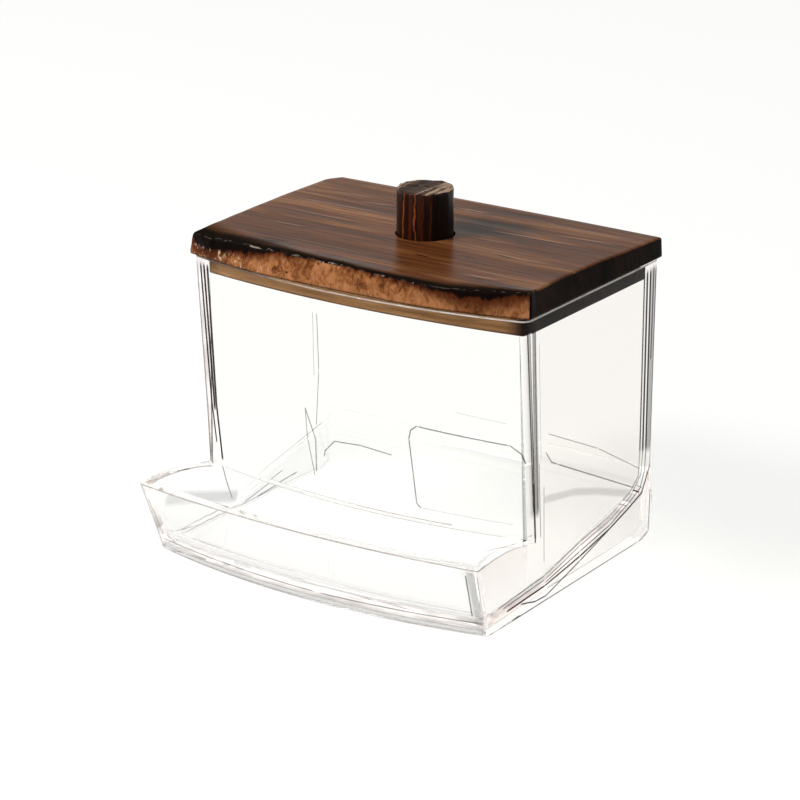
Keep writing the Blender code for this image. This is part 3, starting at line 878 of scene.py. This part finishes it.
FRONT_LINES = (
    post_lines(((-42.45, -41.95, 0.27, 1), (-41.3, -41, 0.32, 1)), 30)
    + strokes((-40.05, 66.5, -40.35, 32, 0.34), (-40.45, 34, -39.5, 18, 0.3),
        (-41.95, 32, -41.2, 22, 0.24, 0.8))
    + polyline(((18.8, 20.1), (17.9, 21), (16.6, 36.4), (17.1, 38.5), (18.6, 39.7), (40.5, 38.5),
        (43, 36.8), (44.4, 33)), 0.15, 0.48)
    + strokes((18.8, 20.1, 41, 19.7, 0.14, 0.1), (28, 44.6, 40, 43.6, 0.14, 0.08))
    + polyline(((-11.2, 38.2), (-8.6, 31), (-8.9, 23)), 0.15, 0.46)
    + polyline(((-11.2, 38.2), (-11, 31), (-9.4, 22)), 0.14, 0.34)
    + polyline(((-6.3, 27.6), (-6.1, 28.8), (-4.2, 30.8), (-3.2, 31.8), (4, 32.3), (12, 31.6)), 0.14,
        0.42))
CORNER_LINES = strokes((-44.4, 66.5, -44.35, 17, 0.6), (-44.2, 66.5, -43.9, 17, 0.6, 0.28),
    (-42.45, 66.5, -41.95, 30, 0.27))
TRAY_LINES = strokes((-46, 1.5, 46, 1.5, 1.3, 0.16), (-46, 0.3, 46, 0.3, 0.16, 0.28),
    (-44.5, 3.4, 4, 2.9, 0.15, 0.5), (4, 2.9, 44.5, 3.5, 0.15, 0.5), (-46, 5.2, 46, 5.2, 1.2, 0.07),
    (-46.2, 17, -44.9, 1, 1.2, 0.26), (-46.2, 17, -44.9, 1, 0.16, 0.5),
    (-44.4, 14, -42.8, 4.5, 0.16, 0.45), (43, 16.2, 42.4, 5, 0.16, 0.6), (44.3, 16.5, 43.7, 1, 1.1, 0.2),
    (45.7, 16.5, 44.8, 1, 0.16, 0.4))


class MouldingPart(IntEnum):
    """A part of the moulding with its own finish, numbered as its material slot."""

    PLAIN, EDGE, RIGHT, LEFT, FRONT, CHAMBER, TRAY, RIM, CORNER, SLOT_EDGE = range(10)


@dataclass
class ClearMoulding:
    """The one-piece moulded box with its sloping floor, open tray and side fins.

    The places from side_from on are in mm and say where each part of it lies. The walls, chamber and
    slot edge refract less than acrylic does, because each face bends light on its own here: with the
    full index the corners and edges would show dark, and in the photograph they vanish.
    """

    finish: ClearAcrylic = field(default_factory=ClearAcrylic)
    # Painted shade: the rounded edges are tinted grey where they show as lines.
    edge_finish: ClearAcrylic = field(default_factory=lambda: ClearAcrylic(
        name="polished_acrylic_edge", face_tint="#8B827C", edge_tint="#564D48", foot_tint="#B4ADA8"))
    # Painted shade: the right wall is tinted warm grey and carries painted lines and shadow bands.
    right_finish: ClearAcrylic = field(default_factory=lambda: ClearAcrylic(
        name="right_wall_acrylic", face_tint="#F2ECE9", foot_tint="#F5F2F0", strokes=RIGHT_LINES,
        trapped_tones=WALL_TONES))
    # Painted lines and a painted grey patch of shade, seen from inside.
    left_finish: ClearAcrylic = field(default_factory=lambda: ClearAcrylic(
        name="left_wall_acrylic", foot_tint="#FDFDFD", strokes=LEFT_LINES, seen_from=SeenFrom.INSIDE,
        trapped_tones=WALL_TONES))
    # Painted lines for what the front wall shows of the room.
    front_finish: ClearAcrylic = field(default_factory=lambda: ClearAcrylic(
        name="front_wall_acrylic", plane=("X", "Z"), strokes=FRONT_LINES, trapped_tones=WALL_TONES))
    # Painted shade: the thick corners are tinted grey and carry painted lines.
    corner_finish: ClearAcrylic = field(default_factory=lambda: ClearAcrylic(
        name="corner_acrylic", face_tint="#F0EDEB", edge_tint="#8E8782", plane=("X", "Z"),
        strokes=CORNER_LINES, trapped_tones=WALL_TONES))
    # Painted shade: grey bands and lines across the tray's front.
    tray_finish: ClearAcrylic = field(default_factory=lambda: ClearAcrylic(
        name="tray_front_acrylic", plane=("X", "Z"), strokes=TRAY_LINES))
    wall_ior: float = 1.14
    chamber_ior: float = 1.07
    slot_ior: float = 1.02
    weld: float = 0.005 * MM
    flat_angle: float = 0.2
    sliver: float = 0.1 * MM
    sliver_from: float = 36 * MM
    inner_side: float = 42.5 * MM
    hair: float = 0.06 * MM
    edge_round: float = 0.22 * MM
    sharp_angle: float = 32.0
    corner_share: float = 0.34
    rim_band: float = 0.30 * MM
    side_from: float = 44.0
    corner_from: float = 16.0
    slot_height: tuple[float, float] = (15.5, 16.9)
    slot_depth: tuple[float, float] = (-26.0, -10.0)
    slot_half: float = 42.6
    inner_corner: tuple[float, float] = (41.5, 42.49)
    inner_corner_front: float = -9.0
    front_from: float = 16.5
    tray_from: float = -30.0
    chamber_from: float = 17.0
    chamber_front: float = -24.0
    rim_outside: tuple[float, float, float] = (44.2, 39.0, -16.6)
    foot_line_top: float = 1.5
    tray_lines: tuple[float, float] = (20.0, -15.0)

    def build(self) -> bpy.types.Object:
        """Copy the solid, weld it, round its edges and dress it.

        Returns:
            The moulding that stands for the plain solid.
        """
        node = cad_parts["clear_body"]
        self.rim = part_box("clear_body")[1][2]
        select_only(node)
        bpy.ops.object.duplicate()
        box = bpy.context.active_object
        box.name = "moulded_box"
        bpy.ops.object.mode_set(mode="EDIT")
        bpy.ops.mesh.select_all(action="SELECT")
        bpy.ops.mesh.remove_doubles(threshold=self.weld)
        bpy.ops.mesh.dissolve_limited(angle_limit=math.radians(self.flat_angle))
        # The back wall's bow leaves slivers, which would show as an upright line.
        pick_edges(box, lambda centre, run: run.length < self.sliver and centre.y > self.sliver_from)
        bpy.ops.mesh.merge(type="COLLAPSE")
        bpy.ops.mesh.select_all(action="SELECT")
        bpy.ops.mesh.bisect(plane_co=(0, 0, self.rim - self.rim_band), plane_no=(0, 0, 1))
        bpy.ops.object.mode_set(mode="OBJECT")
        # A side wall's inside is one flat face; corners a hair off it would crease it.
        for vertex in box.data.vertices:
            if vertex.co.y > 0 and abs(abs(vertex.co.x) - self.inner_side) < self.hair:
                vertex.co.x = math.copysign(self.inner_side, vertex.co.x)
        finishes = {
            MouldingPart.PLAIN: self.finish,
            MouldingPart.EDGE: self.edge_finish,
            MouldingPart.RIGHT: replace(self.right_finish, ior=self.wall_ior),
            MouldingPart.LEFT: replace(self.left_finish, ior=self.wall_ior),
            MouldingPart.FRONT: replace(self.front_finish, ior=self.wall_ior),
            MouldingPart.CHAMBER: replace(self.finish, name="chamber_acrylic", ior=self.chamber_ior,
                                          trapped_tones=WALL_TONES),
            MouldingPart.TRAY: self.tray_finish,
            MouldingPart.RIM: PolishedRim(),
            MouldingPart.CORNER: replace(self.corner_finish, ior=self.wall_ior),
            MouldingPart.SLOT_EDGE: replace(self.finish, name="slot_edge_acrylic", ior=self.slot_ior)}
        box.data.materials.clear()
        for part in MouldingPart:
            box.data.materials.append(finishes[part].build())
        apply_modifier(box, "BEVEL", width=self.edge_round, segments=2, limit_method="ANGLE",
                       angle_limit=math.radians(self.sharp_angle), use_clamp_overlap=False,
                       material=MouldingPart.EDGE)
        select_only(box)
        bpy.ops.object.shade_smooth_by_angle(angle=math.radians(self.sharp_angle))
        apply_modifier(box, "WEIGHTED_NORMAL", mode="FACE_AREA", weight=100, keep_sharp=True)
        self.dress(box)
        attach(box, "dispenser")
        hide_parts("clear_body")
        LOG.info("moulded box: %d faces", len(box.data.polygons))
        return box

    def dress(self, box: bpy.types.Object) -> None:
        """Give each wall, corner and edge its finish.

        Args:
            box: the moulding, whose bevels lie in the edge's slot.
        """
        side, back, front = self.rim_outside
        for face in box.data.polygons:
            middle, out = face.center / MM, face.normal
            if face.material_index == MouldingPart.EDGE and not self.shows_line(middle):
                face.material_index = MouldingPart.PLAIN
            if face.material_index == MouldingPart.PLAIN:
                face.material_index = self.part_at(middle, out)
            outer = abs(middle.x) > side or middle.y > back or middle.y < front
            if middle.z > (self.rim - self.rim_band) / MM and outer and out.z < 0.98:
                face.material_index = MouldingPart.RIM

    def part_at(self, middle: Vector, out: Vector) -> MouldingPart:
        """Tell which part a face belongs to.

        Args:
            middle: the face's middle, in mm.
            out: the way it faces.

        Returns:
            The part.
        """
        across, corner = abs(middle.x), self.inner_corner
        if out.x > 0.6 and middle.x > self.side_from:
            return MouldingPart.RIGHT
        if out.x < -0.9 and middle.x < -self.side_from:
            return MouldingPart.LEFT
        if max(out.x, out.y) < -self.corner_share and middle.z > self.corner_from:
            return MouldingPart.CORNER
        if (self.slot_height[0] < middle.z < self.slot_height[1] and across < self.slot_half
                and self.slot_depth[0] < middle.y < self.slot_depth[1]):
            return MouldingPart.SLOT_EDGE
        if (corner[0] < across < corner[1] and abs(out.x) > 0.05 and out.y > 0
                and middle.y < self.inner_corner_front):
            return MouldingPart.SLOT_EDGE
        if out.y < -0.7 and middle.y < 0 and middle.z > self.front_from:
            return MouldingPart.FRONT
        if out.y < -0.6 and middle.y < self.tray_from:
            return MouldingPart.TRAY
        if middle.z > self.chamber_from and middle.y > self.chamber_front:
            return MouldingPart.CHAMBER
        return MouldingPart.PLAIN

    def shows_line(self, middle: Vector) -> bool:
        """Tell if a rounded edge at a place, in mm, keeps its painted grey line."""
        top, back = self.tray_lines
        return middle.z < self.foot_line_top or (middle.z < top and middle.y < back)


class BoardSide(IntEnum):
    """A side of the board with its own finish, numbered as its material slot."""

    TOP, HEWN, SAWN = range(3)


@dataclass
class HewnBoard:
    """The lid's walnut board: sanded top, sawn ends and a front edge left as it was hewn.

    The crest and foot lines give how far each line of the front edge stands back from the plain bow,
    and lift how far the top rises there, in millimetres over the place across the width.
    """

    bow_front: float = 6.0 * MM
    bow_back: float = 0.6 * MM
    edge_round: float = 0.6 * MM
    columns: int = 240
    front_band: float = 6.0 * MM
    front_rows: int = 15
    back_rows: int = 40
    height_rows: int = 13
    hole_radius: float = 6.9 * MM
    hole_y: float = 11.1 * MM
    crest_line: Line = (
        (-45.5, -0.5), (-38.7, -0.7), (-35.4, 0.3), (-29.5, 0.8), (-23.9, 1.2), (-18.8, 1.8),
        (-12.8, 1.8), (-6.9, 1.6), (-1.5, 1.7), (4.7, 1.1), (10.4, 0.7), (15.6, 0.4), (21.2, -0.1),
        (26.3, -0.5), (30.5, -0.1), (34.4, 0.4), (38.3, 0.9), (45.5, 1.4))
    lift_share: float = 0.32
    foot_line: Line = (
        (-45.5, -0.4), (-24.7, -0.4), (-15.4, 0.2), (-6.0, 0.6), (5.2, 0.8), (15.9, 0.3),
        (25.8, 0.0), (34.7, 0.2), (45.5, 0.8))
    left_line: Line = (
        (-18.0, 1.3), (-8.0, 0.8), (0.0, 0.3), (10.0, -0.2), (20.0, -0.6), (36.0, -0.6), (40.4, 1.6))
    right_line: Line = (
        (-18.0, 0.3), (-14.0, 1.1), (0.0, 1.9), (13.0, 1.8), (27.0, 0.8), (40.4, 0.3))
    smoke_line: Line = (
        (-45.5, 9.0), (-30.0, 7.5), (-12.0, 4.5), (4.0, 3.5), (20.0, 5.0), (32.0, 6.0), (45.5, 3.5))
    sag: float = 0.8 * MM
    relief: float = 0.30 * MM
    crest_reach: float = 9.0 * MM
    face_reach: float = 1.2 * MM
    ridge_reach: float = 1.1 * MM
    face_depth: float = 1.5 * MM

    def build(self) -> bpy.types.Object:
        """Saw the blank, bow it, hew its front edge, bore it and dress it.

        Returns:
            The board that stands for the plain one.
        """
        low, high = (Vector(corner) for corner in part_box("lid_board"))
        front, back = low.y + self.bow_front, high.y - self.bow_back
        self.low = Vector((low.x, front, low.z))
        self.high = Vector((high.x, back, high.z))
        board = add_plank("hewn_board", self.low, self.high, self.edge_round, 3)
        bpy.ops.mesh.select_all(action="SELECT")
        bpy.ops.mesh.bisect(plane_co=(0, front + self.front_band, 0), plane_no=(0, 1, 0))
        everywhere = (-1.0, 1.0)
        cut_along(board, 0, self.columns, everywhere)
        cut_along(board, 1, self.front_rows, (-1.0, front + self.front_band))
        cut_along(board, 1, self.back_rows, (front + self.front_band, 1.0))
        cut_along(board, 2, self.height_rows, everywhere)
        bpy.ops.object.mode_set(mode="OBJECT")
        self.carve(board)
        self.bore(board)
        self.dress(board)
        return board

    def carve(self, board: bpy.types.Object) -> None:
        """Bow the blank and hew its front edge, which no operator can do.

        Args:
            board: the blank, cut into fine rows.
        """
        half, depth = self.high.x, self.high.y - self.low.y
        crest = board.data.attributes.new("crest", "FLOAT", "POINT")
        shore = board.data.attributes.new("shore", "FLOAT", "POINT")
        height = board.data.attributes.new("height", "FLOAT", "POINT")
        for vertex in board.data.vertices:
            place = vertex.co.copy()
            across = place.x / half
            up = (place.z - self.low.z) / (self.high.z - self.low.z)
            inward = (place.y - self.low.y) / depth
            bow = 1 - across * across
            vertex.co.y += bow * (self.bow_back * inward - self.bow_front * (1 - inward))
            near = max(0.0, 1 - (place.y - self.low.y) / self.crest_reach)
            near = near * near * (3 - 2 * near)
            at_crest = along_line(self.crest_line, place.x / MM) * MM
            at_foot = along_line(self.foot_line, place.x / MM) * MM
            vertex.co.y += near * (at_foot + (at_crest - at_foot) * up)
            vertex.co.z += near * up * up * at_crest * self.lift_share
            face = max(0.0, 1 - (place.y - self.low.y) / self.face_reach)
            if face > 0:
                vertex.co.y += face * self.hewing(place)
                vertex.co.z += face * up * up * self.chips(place)
            left = along_line(self.left_line, place.y / MM) * MM * max(0.0, -across) ** 6
            right = along_line(self.right_line, place.y / MM) * MM * max(0.0, across) ** 6
            vertex.co.x += (left - right) * up
            vertex.co.z -= self.sag * up * inward * (0.55 + 0.45 * across)
            behind = (place.y - self.low.y) / (along_line(self.smoke_line, place.x / MM) * MM)
            shore.data[vertex.index].value = max(0.0, 1 - behind)
            from_crest = math.hypot(place.y - self.low.y, self.high.z - place.z)
            crest.data[vertex.index].value = max(0.0, 1 - from_crest / self.ridge_reach)
            height.data[vertex.index].value = up
        board.data.update()

    def hewing(self, place: Vector) -> float:
        """Work out the hewn face's unevenness.

        Args:
            place: where on the board.

        Returns:
            How far the face is cut in there.
        """
        broad = noise.fractal(place * (1 / (7 * MM)), 1.0, 2.0, 3)
        stroke = Vector((place.x / (1.1 * MM) + 0.5 * broad, 3.0, place.z / (3.2 * MM)))
        fibre = noise.fractal(stroke, 0.9, 2.1, 3)
        return self.relief * (0.9 * broad + 0.6 * fibre)

    def chips(self, place: Vector) -> float:
        """Return how far the crest is chipped down at a place."""
        chip = noise.noise(Vector((place.x / (2.6 * MM), 8.0, 1.0)))
        return -0.35 * MM * max(0.0, chip)

    def bore(self, board: bpy.types.Object) -> None:
        """Bore the hole that the knob stands in.

        Args:
            board: the carved board.
        """
        bpy.ops.object.select_all(action="DESELECT")
        tall = self.high.z - self.low.z + 8 * MM
        bpy.ops.mesh.primitive_cylinder_add(
            vertices=64, radius=self.hole_radius, depth=tall,
            location=(0, self.hole_y, (self.high.z + self.low.z) / 2))
        drill = bpy.context.active_object
        bpy.ops.object.transform_apply(location=True, rotation=True, scale=True)
        apply_modifier(board, "BOOLEAN", operation="DIFFERENCE", solver="EXACT", object=drill)
        bpy.data.objects.remove(drill, do_unlink=True)

    def dress(self, board: bpy.types.Object) -> None:
        """Give the board its finishes and its place in the frame.

        Args:
            board: the bored board.
        """
        select_only(board)
        bpy.ops.object.shade_smooth_by_angle(angle=math.radians(40))
        board.data.materials.clear()
        for finish in (LacqueredWalnut(), HewnWalnut(), SawnEndGrain()):
            board.data.materials.append(finish.build())
        for face in board.data.polygons:
            if abs(face.normal.x) > 0.7:
                face.material_index = BoardSide.SAWN
            elif -0.9 < face.normal.z < 0.75 and face.center.y < self.low.y + self.face_depth:
                face.material_index = BoardSide.HEWN
        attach(board, "lid")
        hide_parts("lid_board")
        LOG.info("hewn board: %d faces", len(board.data.polygons))


@dataclass
class RabbetBlock:
    """The pale walnut block under the board, which drops into the box and keeps the lid in place."""

    front_room: float = 6.0 * MM
    bow_front: float = 3.4 * MM
    bow_back: float = 0.6 * MM
    edge_round: float = 0.4 * MM
    columns: int = 48
    stained_from: float = 41.3 * MM

    def build(self) -> bpy.types.Object:
        """Saw the block, bow it and dress it.

        Returns:
            The block that stands for the plain one.
        """
        low, high = (Vector(corner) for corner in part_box("lid_plug"))
        low.y += self.front_room
        high.y -= self.bow_back
        block = add_plank("rabbet_block", low, high, self.edge_round, 3)
        cut_along(block, 0, self.columns, (-1.0, 1.0))
        bpy.ops.object.mode_set(mode="OBJECT")
        for vertex in block.data.vertices:
            inward = (vertex.co.y - low.y) / (high.y - low.y)
            bow = 1 - (vertex.co.x / high.x) ** 2
            vertex.co.y += bow * (self.bow_back * inward - self.bow_front * (1 - inward))
        select_only(block)
        bpy.ops.object.shade_smooth_by_angle(angle=math.radians(40))
        block.data.materials.append(PlanedWalnut(low.z, high.z).build())
        block.data.materials.append(SawnEndGrain(name="stained_end").build())
        for face in block.data.polygons:
            # Both ends take the near-black end grain, and so does the front's right end as painted shade.
            face.material_index = int(abs(face.normal.x) > 0.5 or face.center.x > self.stained_from)
        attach(block, "lid")
        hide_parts("lid_plug")
        LOG.info("rabbet block: %d faces", len(block.data.polygons))
        return block


@dataclass
class WhittledKnob:
    """The round knob, whittled in long flats, with a rough-sawn top."""

    radius: float = 6.6 * MM
    sides: int = 96
    rows: int = 24
    flats: int = 13
    edge_round: float = 0.45 * MM
    top_rings: tuple[float, ...] = (0.16, 0.19, 0.24, 0.31, 0.45, 0.55)
    flat_depth: float = 0.10
    wave_depth: float = 0.06
    saw_depth: float = 0.22
    saw_band: float = 0.7 * MM

    def build(self) -> bpy.types.Object:
        """Turn the knob, whittle its side, saw its top and dress it.

        Returns:
            The knob that stands for the plain one.
        """
        low, high = (Vector(corner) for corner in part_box("lid_knob"))
        middle = (low + high) / 2
        bpy.ops.object.select_all(action="DESELECT")
        bpy.ops.mesh.primitive_cylinder_add(vertices=self.sides, radius=self.radius,
                                            depth=high.z - low.z, location=middle)
        bpy.ops.object.transform_apply(location=True, rotation=True, scale=True)
        knob = bpy.context.active_object
        knob.name = "whittled_knob"
        bpy.ops.object.mode_set(mode="EDIT")
        pick_edges(knob, lambda centre, run: abs(run.z) < 0.1 * MM)
        bpy.ops.mesh.bevel(offset=self.edge_round, segments=4, affect="EDGES")
        bpy.ops.mesh.select_mode(type="FACE")
        bpy.ops.mesh.select_all(action="DESELECT")
        shape = bmesh.from_edit_mesh(knob.data)
        for face in shape.faces:
            face.select_set(face.normal.z > 0.999 and face.calc_center_median().z > middle.z)
        bmesh.update_edit_mesh(knob.data)
        for share in self.top_rings:
            bpy.ops.mesh.inset(thickness=self.radius * share * 0.62)
        cut_along(knob, 2, self.rows, (-1.0, 1.0))
        bpy.ops.object.mode_set(mode="OBJECT")
        self.whittle(knob, middle, high.z)
        select_only(knob)
        bpy.ops.object.shade_smooth_by_angle(angle=math.radians(40))
        knob.data.materials.append(StreakedWalnut(middle.x, middle.y).build())
        knob.data.materials.append(RoughSawnTop().build())
        for face in knob.data.polygons:
            face.material_index = int(face.normal.z > 0.6)
        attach(knob, "lid")
        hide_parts("lid_knob")
        LOG.info("whittled knob: %d faces", len(knob.data.polygons))
        return knob

    def whittle(self, knob: bpy.types.Object, middle: Vector, top: float) -> None:
        """Cut long flats into the side and roughen the top.

        Args:
            knob: the turned knob.
            middle: its middle.
            top: its highest Z.
        """
        for vertex in knob.data.vertices:
            away = Vector((vertex.co.x - middle.x, vertex.co.y - middle.y, 0.0))
            angle = math.atan2(away.y, away.x)
            flat = angle * self.flats / math.tau + 0.3 * math.sin(2 * angle + 1.0)
            dip = 1 - abs(2 * (flat - math.floor(flat)) - 1) ** 2
            wave = noise.noise(Vector((math.cos(angle) * 2, math.sin(angle) * 2, vertex.co.z / (6 * MM))))
            reach = min(1.0, away.length / self.radius)
            vertex.co -= away.normalized() * reach * MM * (
                self.flat_depth * dip + self.wave_depth * (wave + 0.6))
            if vertex.co.z > top - self.saw_band:
                across = Vector((vertex.co.x / (5 * MM), vertex.co.y / (1.4 * MM), 2.0))
                vertex.co.z -= MM * self.saw_depth * (noise.fractal(across, 1.0, 2.0, 3) + 0.7)
        knob.data.update()


def seen_ray(add: AddNode) -> Source:
    """Tell the rays that the eye follows from those that only light the object.

    Args:
        add: what adds a node to the tree.

    Returns:
        What is 1 for a ray straight from the eye, a mirrored one or one through the clear walls.
    """
    path = add("LightPath").outputs
    seen = add("Math", {0: path["Is Camera Ray"], 1: path["Is Glossy Ray"]}, operation="MAXIMUM")
    return add("Math", {0: seen, 1: path["Is Transmission Ray"]}, operation="MAXIMUM")


@dataclass
class Studio:
    """A pale floor, soft lamps and a camera at the photograph's angle."""

    azimuth: float = 34.26
    elevation: float = 19.53
    distance: float = 0.65638
    aim: tuple[float, float, float] = (0.00144, -0.00121, 0.03690)
    lens_mm: float = 129.56
    floor_size: float = 6.0
    world_strength: float = 0.42
    key_power: float = 12.6
    key_size: float = 0.4
    key_place: tuple[float, float, float] = (-0.55, -0.75, 0.9)
    key_aim: tuple[float, float, float] = (0.0, 0.0, 0.04)
    floor_glow: float = 0.80
    air_tint: str = "#FFFFFD"
    floor_lit: str = "#E6E6E4"
    floor_seen: str = "#898988"

    def camera_axes(self) -> Matrix:
        """Work out the camera's turn.

        Returns:
            A matrix whose columns are right, up and back.
        """
        turn, tilt = math.radians(self.azimuth), math.radians(self.elevation)
        back = Vector((math.sin(turn) * math.cos(tilt), -math.cos(turn) * math.cos(tilt),
                       math.sin(tilt)))
        right = Vector((math.cos(turn), math.sin(turn), 0.0))
        return Matrix((right, back.cross(right), back)).transposed()

    def build_camera(self) -> None:
        """Place the camera."""
        camera = bpy.data.objects.new("camera", bpy.data.cameras.new("camera"))
        bpy.context.scene.collection.objects.link(camera)
        axes = self.camera_axes()
        camera.matrix_world = axes.to_4x4()
        camera.location = Vector(self.aim) + axes.col[2] * self.distance
        camera.data.lens = self.lens_mm
        camera.data.sensor_width = 36.0
        camera.data.clip_start = 0.01
        camera.data.clip_end = 50.0
        bpy.context.scene.camera = camera

    def build_world(self) -> None:
        """Light evenly, and show plain white to the eye and through the clear walls."""
        world = bpy.data.worlds.new("studio_air")
        bpy.context.scene.world = world
        world.use_nodes = True
        world.node_tree.nodes.clear()
        add = partial(add_node, world.node_tree)
        strength = add("MapRange", {"Value": seen_ray(add), **span(0.0, 1.0, self.world_strength)})
        air = add("Background", {"Color": self.air_tint, "Strength": strength})
        add("OutputWorld", {"Surface": air})

    def build_floor(self) -> None:
        """Lay the pale floor, which keeps the object's shadow."""
        bpy.ops.mesh.primitive_plane_add(size=self.floor_size)
        floor = bpy.context.active_object
        floor.name = "floor"
        material, add = new_material("pale_floor")
        seen = seen_ray(add)
        lift = add("MapRange", {"Value": seen, **span(0.0, 1.0, 0.0, self.floor_glow)})
        glow = add("Emission", {"Color": self.air_tint, "Strength": lift})
        paint = add("BsdfDiffuse", {"Color": lay_tints(add, self.floor_lit, (seen, self.floor_seen))})
        add("OutputMaterial", {"Surface": add("AddShader", {0: glow, 1: paint})})
        floor.data.materials.append(material)

    def build_lamps(self) -> None:
        """Hang a broad key lamp to the front left and above."""
        data = bpy.data.lights.new("key", "AREA")
        data.shape = "DISK"
        data.size = self.key_size
        data.energy = self.key_power
        lamp = bpy.data.objects.new("key", data)
        lamp.location = self.key_place
        towards = Vector(self.key_aim) - lamp.location
        lamp.rotation_euler = towards.to_track_quat("-Z", "Y").to_euler()
        bpy.context.scene.collection.objects.link(lamp)

    def build(self) -> None:
        """Build the whole studio."""
        self.build_camera()
        self.build_world()
        self.build_floor()
        self.build_lamps()
        bpy.context.scene.view_settings.view_transform = "Standard"


def main() -> None:
    """Build the studio and dress every piece."""
    logging.basicConfig(level=logging.INFO, format="%(message)s")
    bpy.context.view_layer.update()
    bpy.ops.object.select_all(action="DESELECT")
    Studio().build()
    ClearMoulding().build()
    HewnBoard().build()
    RabbetBlock().build()
    WhittledKnob().build()


if __name__ == "__main__":
    main()
